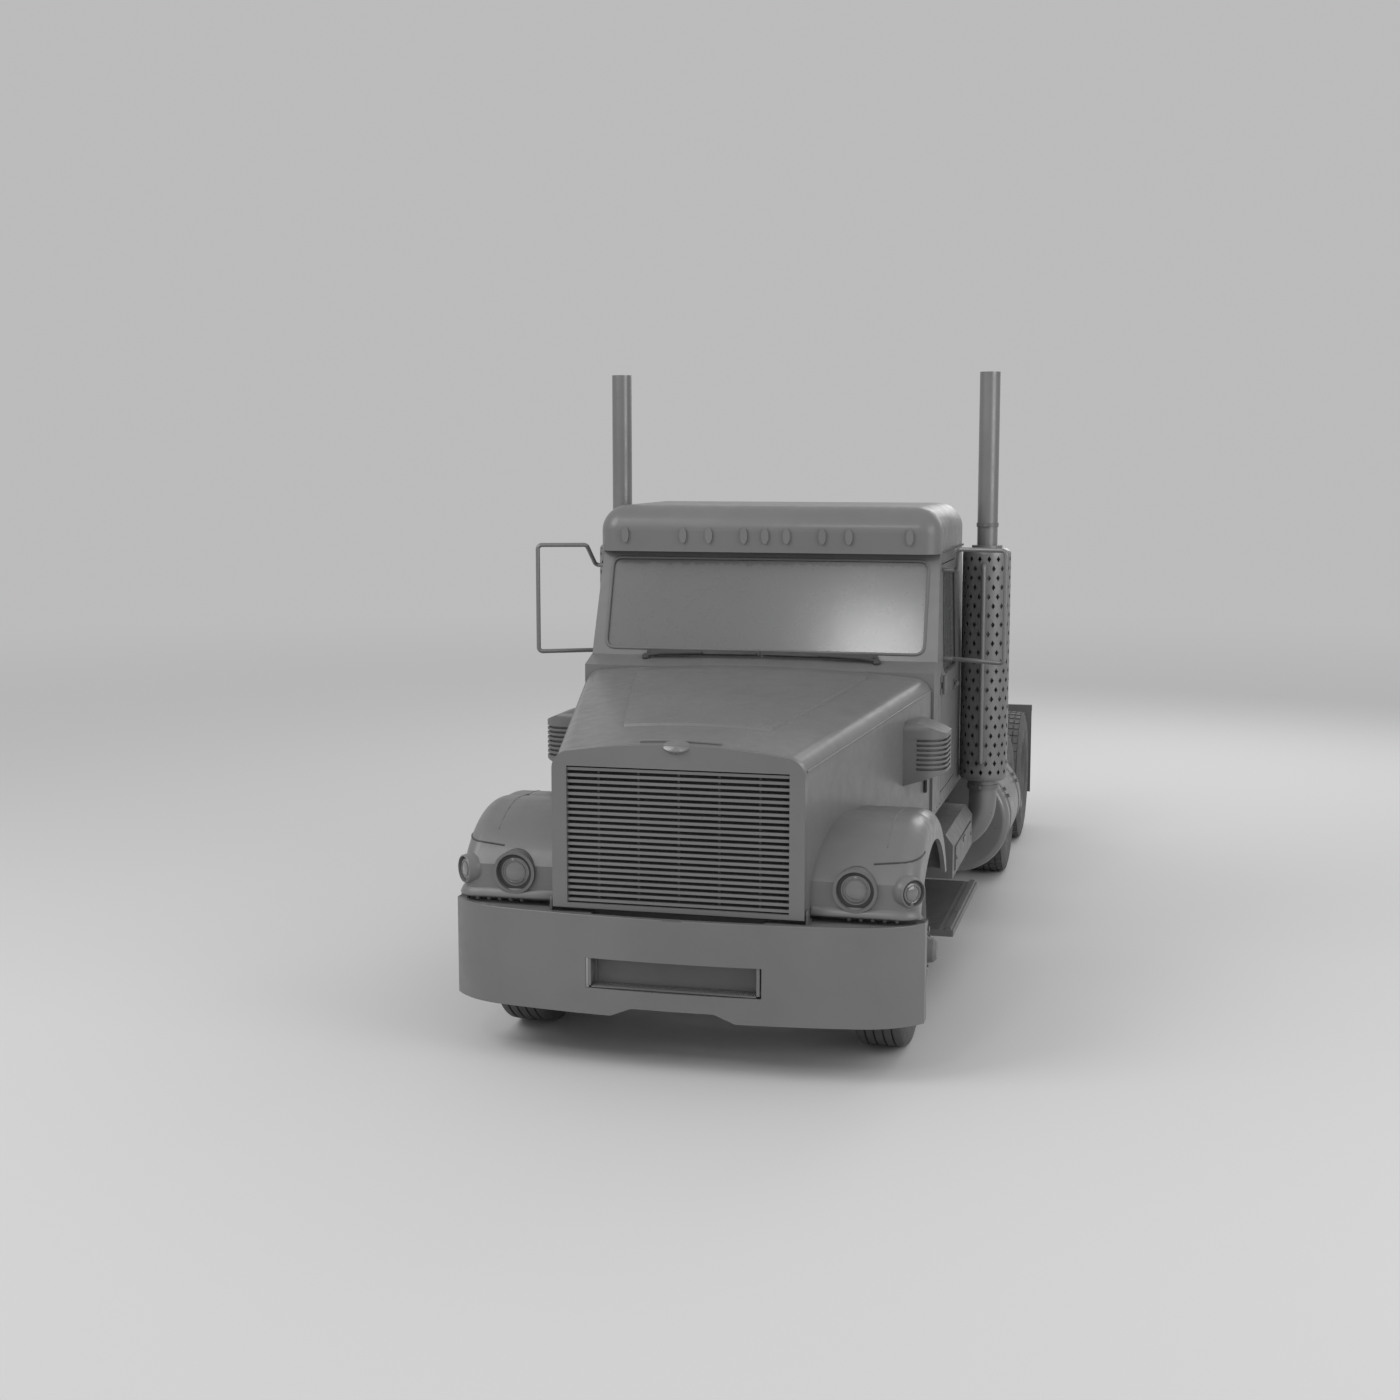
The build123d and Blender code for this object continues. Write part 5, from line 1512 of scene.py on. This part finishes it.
@dataclass
class SideGear:
    """Fuel tank caps and straps, running board ribs, step box doors and exhaust clamps."""

    tank_x: float = 0.985
    tank_z: float = 0.680
    tank_radius: float = 0.352
    tank_y: tuple[float, float] = (-0.023, 1.005)
    strap_inset: float = 0.200
    box_x: float = 1.160
    box_y: tuple[float, float] = (-1.655, -0.615)
    box_z: tuple[float, float] = (0.640, 0.840)
    board_x: tuple[float, float] = (0.785, 1.190)
    board_y: tuple[float, float] = (-2.015, -0.715)
    board_top: float = 0.422
    clamps_at: tuple[tuple[float, float, float], ...] = ((0.995, 0.0965, 0.03), (2.668, 0.0645, 0.026))

    def tanks(self) -> None:
        """Fit the filler cap, strap bolts, end seams and straps of each tank."""
        caps = Shape("tank_fittings", BRIGHT_METAL)
        straps = Shape("tank_straps", SATIN_METAL)
        radius, (front, back) = self.tank_radius, self.tank_y
        filler = [(0, 0.058), (0.008, 0.056), (0.008, 0.046), (0.030, 0.046), (0.034, 0.042), (0.034, 0)]
        seam = [(-0.006, radius - 0.001), (0, radius + 0.0035), (0.006, radius - 0.001)]
        low, high = radius - 0.001, radius + 0.004
        band = [(-0.026, low), (-0.024, high), (0.024, high), (0.026, low)]
        bolt = [(0, 0.014), (0.016, 0.014), (0.016, 0)]
        tilt = 24
        for side in Side:
            out = side.above(tilt)
            foot = side.at(self.tank_x, front + 0.11, self.tank_z) + out * (radius - 0.002)
            caps.lathe(filler, foot, out, 28)
            caps.block(foot + out * 0.038, (0.07, 0.012, 0.010), (0, side.value * math.radians(tilt), 0))
            for y in (front + self.strap_inset, back - self.strap_inset):
                middle = side.at(self.tank_x, y, self.tank_z)
                straps.lathe(band, middle, (0, 1, 0), 96)
                for way in (side.above(58), side.above(66)):
                    caps.lathe(bolt, middle + way * (radius + 0.005), way, 6)
            for y in (front + 0.045, back - 0.045):
                caps.lathe(seam, side.at(self.tank_x, y, self.tank_z), (0, 1, 0), 72)
        caps.place("chassis")
        straps.place("chassis")

    def boards(self) -> None:
        """Rib the top of each running board, and edge it with a rail."""
        ribs = Shape("board_ribs", BRIGHT_METAL)
        (front, back), z = self.board_y, self.board_top
        rail_x = self.board_x[1] - 0.010
        width = rail_x - self.board_x[0] - 0.05
        for side in Side:
            ends = [side.at(self.board_x[0] + width / 2, y, z) for y in (front + 0.02, back - 0.02)]
            ribs.row(Head.BLOCK, 44, (width, 0.012, 0.007), *ends)
            ribs.block(side.at(rail_x, (front + back) / 2, z + 0.004), (0.036, back - front - 0.004, 0.016))
        ribs.place("chassis", bevel=0.002)

    def boxes(self) -> None:
        """Fit a door panel, its hinges and its latch to each step box."""
        panels = Shape("step_box_doors", SATIN_METAL)
        latches = Shape("step_box_latches", BRIGHT_METAL)
        x, y, z = self.box_x + 0.003, sum(self.box_y) / 2, sum(self.box_z) / 2
        for side in Side:
            panels.block(side.at(x, y, z), (0.008, 0.84, 0.15))
            latches.block(side.at(x + 0.006, y, z + 0.045), (0.012, 0.09, 0.03))
            ends = [side.at(x + 0.006, y + shift, z) for shift in (-0.38, 0.38)]
            latches.row(Head.BOLT, 2, (0.012, 0.012, 0.010), *ends, TURNED_OUT)
        panels.place("chassis", bevel=0.004)
        latches.place("chassis", bevel=0.002)

    def clamps(self) -> None:
        """Clamp each exhaust below its guard and above its collar."""
        clamps = Shape("exhaust_clamps", SATIN_METAL)
        for side in Side:
            for z, radius, width in self.clamps_at:
                half = width / 2
                band = [(-half, radius), (-half, radius + 0.005), (half, radius + 0.005), (half, radius)]
                clamps.lathe(band, side.at(*STACK, z), UP)
                clamps.block(side.at(STACK[0], STACK[1] - radius - 0.012, z), (0.03, 0.022, width * 0.8))
        clamps.place("chassis", bevel=0.002)

    def build(self) -> None:
        """Make all of the gear on the truck's sides."""
        for make in (self.tanks, self.boards, self.boxes, self.clamps):
            make()


@dataclass
class FrameGear:
    """Bolts, brake chambers and spring clamps on the frame and axles."""

    rail_x: float = 0.430
    member_ys: tuple[float, ...] = (-3.345, -0.695, 0.355, 1.175, 2.315, 3.660)
    steer_y: float = -2.845
    drive_ys: tuple[float, float] = (1.655, 2.975)
    spring_x: float = 0.385
    chamber_x: float = 0.470

    def bolts(self) -> None:
        """Bolt the cross members through the rails."""
        bolts = Shape("frame_bolts", SATIN_METAL)
        for side in Side:
            for y in self.member_ys:
                for z in (0.965, 0.905):
                    ends = [side.at(self.rail_x + 0.005, y + shift, z) for shift in (-0.028, 0.028)]
                    bolts.row(Head.BOLT, 2, (0.015, 0.015, 0.014), *ends, TURNED_OUT)
        bolts.place("chassis")

    def clamps(self) -> None:
        """Clamp each front spring to the beam with two bent bolts."""
        clamps = Shape("spring_clamps", FRAME_METAL)
        near, far, low, high = self.spring_x - 0.05, self.spring_x + 0.05, 0.352, 0.520
        for side in Side:
            legs = [(near, low), (near, high), (far, high), (far, low)]
            if side is Side.RIGHT:
                legs.reverse()
            for y in (self.steer_y - 0.055, self.steer_y + 0.055):
                clamps.tube(hoop([side.at(x, y, z) for x, z in legs], 0.016), 0.008, 8)
        clamps.place("chassis")

    def chambers(self) -> None:
        """Hang a brake chamber on a bracket in front of each end of both drive axles."""
        chambers = Shape("brake_chambers", CAST_IRON)
        profile = [(0, 0), (0, 0.052), (0.02, 0.072), (0.07, 0.075), (0.074, 0.080), (0.084, 0.080)]
        profile += [(0.088, 0.075), (0.14, 0.068), (0.15, 0.05), (0.15, 0)]
        for side in Side:
            for y in self.drive_ys:
                chambers.lathe(profile, side.at(self.chamber_x, y - 0.225, 0.600), (0, 1, 0), 28)
                chambers.block(side.at(self.chamber_x, y - 0.05, 0.575), (0.05, 0.08, 0.05))
        chambers.place("chassis", bevel=0.003)

    def plate(self) -> None:
        """Hang a blank number plate below the last cross member, and bolt the mud flaps' hangers."""
        plate = Shape("blank_plate", BRIGHT_METAL)
        plate.block((0, self.member_ys[-1], 0.800), (0.30, 0.006, 0.15))
        plate.place("chassis", bevel=0.002)
        bolts = Shape("flap_bolts", SATIN_METAL)
        for side in Side:
            ends = [side.at(x, 3.629, 0.93) for x in (0.66, 1.14)]
            bolts.row(Head.BOLT, 5, (0.012, 0.012, 0.012), *ends, TURNED_BACK)
        bolts.place("chassis")

    def build(self) -> None:
        """Make all of the frame's gear."""
        for make in (self.bolts, self.clamps, self.chambers, self.plate):
            make()


@dataclass
class Coupling:
    """Jaws, release handle and pivot nuts of the trailer coupling."""

    y: float = 2.315
    plate_low: float = 1.158
    pin_z: float = 1.120
    pin_end: float = 0.440
    jaw: tuple[tuple[float, float], ...] = (
        (0.03, -0.10), (0.10, -0.08), (0.115, 0.06), (0.05, 0.13), (0.03, 0.05)
    )
    lever: tuple[tuple[float, float], ...] = ((0.10, -0.13), (0.30, -0.20), (0.46, -0.24), (0.52, -0.24))

    def build(self) -> None:
        """Make the coupling's fittings."""
        jaws = Shape("coupling_jaws", CAST_IRON)
        handle = Shape("coupling_handle", SATIN_METAL)
        nuts = Shape("coupling_nuts", SATIN_METAL)
        nut = [(0, 0), (0, 0.034), (0.018, 0.034), (0.022, 0.030), (0.022, 0)]
        for side in Side:
            jaws.prism([side.at(x, self.y + y, self.plate_low - 0.034) for x, y in self.jaw], (0, 0, 0.034))
            nuts.lathe(nut, side.at(self.pin_end, self.y, self.pin_z), side.at(1, 0, 0), 6)
        jaws.block((0, self.y - 0.13, self.plate_low - 0.015), (0.24, 0.06, 0.03))
        jaws.place("coupling_plate", bevel=0.005)
        handle.tube([(x, self.y + y, self.plate_low - 0.016) for x, y in self.lever], 0.010, 10)
        handle.place("coupling_plate")
        nuts.place("chassis")


@dataclass
class BumperTrim:
    """The bumper's rolled edge and ledge, and the panel and grating inside its slot."""

    bumper: bpy.types.Object
    panel_y: float = -3.590
    half: float = 0.428
    slot_half: float = 0.456
    slot_z: tuple[float, float] = (0.400, 0.620)
    sill_z: float = 0.4345
    top_z: float = 0.800
    plate: float = 0.009
    ledge_x: float = 0.46
    ledge_y: float = -3.405

    def edge(self, skin: Skin, side: Side, inset: float) -> list[Vector]:
        """Return a line along the bumper's upper edge from its middle round to one end.

        Args:
            skin: The bumper's surface.
            side: Which end.
            inset: How far the line lies behind the face.

        Returns:
            The line's points.
        """
        z = self.top_z - 0.004
        line = [skin.hit(side.at(x / 20, -4, z), (0, 1, 0), -inset) for x in range(1, 19)]
        for degrees in range(6, 91, 7):
            out = side.ahead(degrees)
            line.append(skin.hit(side.at(0.90, -3.36, z) + out * 0.8, -out, -inset))
        return line

    def rims(self) -> None:
        """Roll the bumper's upper edge, and lay a ledge with an upstand behind each half of it."""
        skin = Skin(self.bumper)
        edge = Shape("bumper_edge", BUMPER_METAL)
        ledge = Shape("bumper_ledge", TRIM)
        low = self.top_z - 0.010
        for side in Side:
            line = self.edge(skin, side, self.plate / 2)
            edge.tube([(point.x, point.y, self.top_z) for point in line], self.plate / 2 - 0.0003, 12)
            face = self.edge(skin, side, self.plate - 0.002)
            outer = [Vector((point.x, point.y, low)) for point in face if abs(point.x) > 0.44]
            end = max(abs(point.x) for point in outer)
            inner = [side.at(x, self.ledge_y, low) for x in (end, self.ledge_x)]
            ledge.prism([point for point in outer if point.y < self.ledge_y] + inner, (0, 0, 0.004))
            upstand = side.at((end + self.ledge_x) / 2, self.ledge_y - 0.002, self.top_z + 0.001)
            ledge.block(upstand, (end - self.ledge_x, 0.004, 0.022))
        edge.place("chassis")
        ledge.place("chassis", bevel=0.001)

    def slot(self) -> None:
        """Fill the bumper's slot with a panel, its cheeks and the grating on its sill."""
        panel = Shape("slot_panel", TRIM)
        (low, high), y = self.slot_z, self.panel_y
        middle = (low + high) / 2
        panel.block((0, y, middle), (2 * self.half, 0.006, high - low))
        panel.block((0, y - 0.045, self.sill_z), (2 * self.half, 0.095, 0.006))
        for side in Side:
            cheek = side.at((self.slot_half + self.half) / 2, y - 0.010, middle)
            panel.block(cheek, (self.slot_half - self.half + 0.02, 0.012, high - low))
        panel.place("chassis")
        grating = Shape("slot_grating", SATIN_METAL)
        for shift in (0.02, 0.045, 0.07):
            ends = [(x, y - shift, self.sill_z + 0.004) for x in (-self.half + 0.01, self.half - 0.01)]
            grating.row(Head.BLOCK, 68, (0.006, 0.016, 0.008), *ends)
        grating.place("chassis")

    def build(self) -> None:
        """Make all of the bumper's trim."""
        self.rims()
        self.slot()


@dataclass
class Studio:
    """Camera, lamps, world and floor round the truck."""

    eye: tuple[float, float, float] = (2.444, -12.869, 3.126)
    yaw: float = 0.2456
    pitch: float = 0.1269
    lens: float = 50.0
    sensor: float = 36.0
    far_clip: float = 300.0
    floor_span: float = 90.0
    floor_tone: tuple[float, float, float, float] = (0.62, 0.62, 0.62, 1)
    world_strength: float = 0.66
    backdrop: tuple[float, float, float, float] = (0.5, 0.5, 0.5, 1)
    fade: tuple[float, float] = (7.0, 26.0)
    aim: tuple[float, float, float] = (0, 0, 1.4)

    def camera(self) -> None:
        """Place the camera at the photograph's viewpoint."""
        data = bpy.data.cameras.new("viewpoint")
        data.lens = self.lens
        data.sensor_width = self.sensor
        data.clip_end = self.far_clip
        camera = add_object("viewpoint", data)
        camera.location = self.eye
        camera.rotation_euler = Euler((math.pi / 2 - self.pitch, 0, self.yaw))
        bpy.context.scene.camera = camera

    def lamp(self, name: str, place: Point, size: float, power: float) -> None:
        """Add one soft square lamp that faces the truck.

        Args:
            name: The lamp's name.
            place: Its centre.
            size: The length of its side.
            power: Its power in watts.
        """
        data = bpy.data.lights.new(name, "AREA")
        data.size = size
        data.energy = power
        lamp = add_object(name, data)
        lamp.location = place
        lamp.rotation_euler = (Vector(self.aim) - Vector(place)).to_track_quat("-Z", "Y").to_euler()

    def seen(self, wires: Wires) -> Socket:
        """Tell what the camera, gloss and glass see from what lights the scene.

        Args:
            wires: The nodes of the world or the floor.

        Returns:
            A socket that is 1 for what is seen and 0 for light.
        """
        seen = wires.add("ShaderNodeLightPath", {}, "Is Camera Ray")
        for name in ("Is Glossy Ray", "Is Transmission Ray"):
            seen = wires.sums("MAXIMUM", seen, wires.add("ShaderNodeLightPath", {}, name))
        return seen

    def world(self) -> None:
        """Light the world evenly, and show it in the backdrop's tone."""
        world = bpy.data.worlds.new("studio_world")
        bpy.context.scene.world = world
        world.use_nodes = True
        wires = Wires(world.node_tree)
        light = world.node_tree.nodes["Background"]
        wires.join(light.inputs["Color"], (1, 1, 1, 1))
        wires.join(light.inputs["Strength"], self.world_strength)
        shown = wires.add("ShaderNodeBackground", {"Color": self.backdrop})
        mixed = {"Fac": self.seen(wires), 1: light.outputs["Background"], 2: shown}
        surface = wires.add("ShaderNodeMixShader", mixed)
        wires.join(world.node_tree.nodes["World Output"].inputs["Surface"], surface)

    def floor_paint(self) -> bpy.types.Material:
        """Return the floor's pale paint, which takes on the backdrop's tone far from the truck.

        Returns:
            The paint's material.
        """
        material = bpy.data.materials.new("floor_paint")
        material.use_nodes = True
        wires = Wires(material.node_tree)
        shader = material.node_tree.nodes["Principled BSDF"]
        wires.join(shader.inputs["Base Color"], self.floor_tone)
        wires.join(shader.inputs["Roughness"], 0.8)
        far = wires.add("ShaderNodeEmission", {"Color": self.backdrop})
        place = wires.add("ShaderNodeTexCoord", {}, "Object")
        reach = wires.add("ShaderNodeVectorMath", {0: place}, "Value", operation="LENGTH")
        ends = {"Value": reach, "From Min": self.fade[0], "From Max": self.fade[1]}
        share = wires.add("ShaderNodeMapRange", ends, interpolation_type="SMOOTHSTEP")
        mixed = {"Fac": wires.sums("MULTIPLY", share, self.seen(wires)), 1: shader.outputs["BSDF"], 2: far}
        output = material.node_tree.nodes["Material Output"]
        wires.join(output.inputs["Surface"], wires.add("ShaderNodeMixShader", mixed))
        return material

    def floor(self) -> None:
        """Lay a plain pale floor."""
        span = self.floor_span
        mesh = bpy.data.meshes.new("floor")
        corners = [(-span, -span, 0), (span, -span, 0), (span, span, 0), (-span, span, 0)]
        mesh.from_pydata(corners, [], [(0, 1, 2, 3)])
        mesh.materials.append(self.floor_paint())
        floor = add_object("floor", mesh)

    def build(self) -> None:
        """Set up the whole studio."""
        bpy.context.scene.view_settings.view_transform = "Standard"
        self.camera()
        self.world()
        self.floor()
        self.lamp("key_lamp", (-0.95, -10.9, 7.45), 1.0, 62)
        self.lamp("soft_lamp", (-7, -8, 9), 6, 420)
        self.lamp("fill_lamp", (9, -6, 5), 6, 260)
        self.lamp("rim_lamp", (3, 9, 7), 6, 260)


def main() -> None:
    """Build the studio and the truck's looks."""
    logging.basicConfig(level=logging.INFO, format="%(message)s")
    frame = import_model()
    Studio().build()
    nodes = frame["nodes"]
    dress_nodes(nodes)
    bumper = BumperTrim(nodes["front_bumper"])
    front = (RoadWheels(), GlassSeals(), BonnetTrim(nodes), Lamps(), Pods(), StackGuards(), Wipers())
    for group in (*front, CabTrim(), Cabin(), SideGear(), FrameGear(), Coupling(), bumper):
        group.build()


if __name__ == "__main__":
    main()
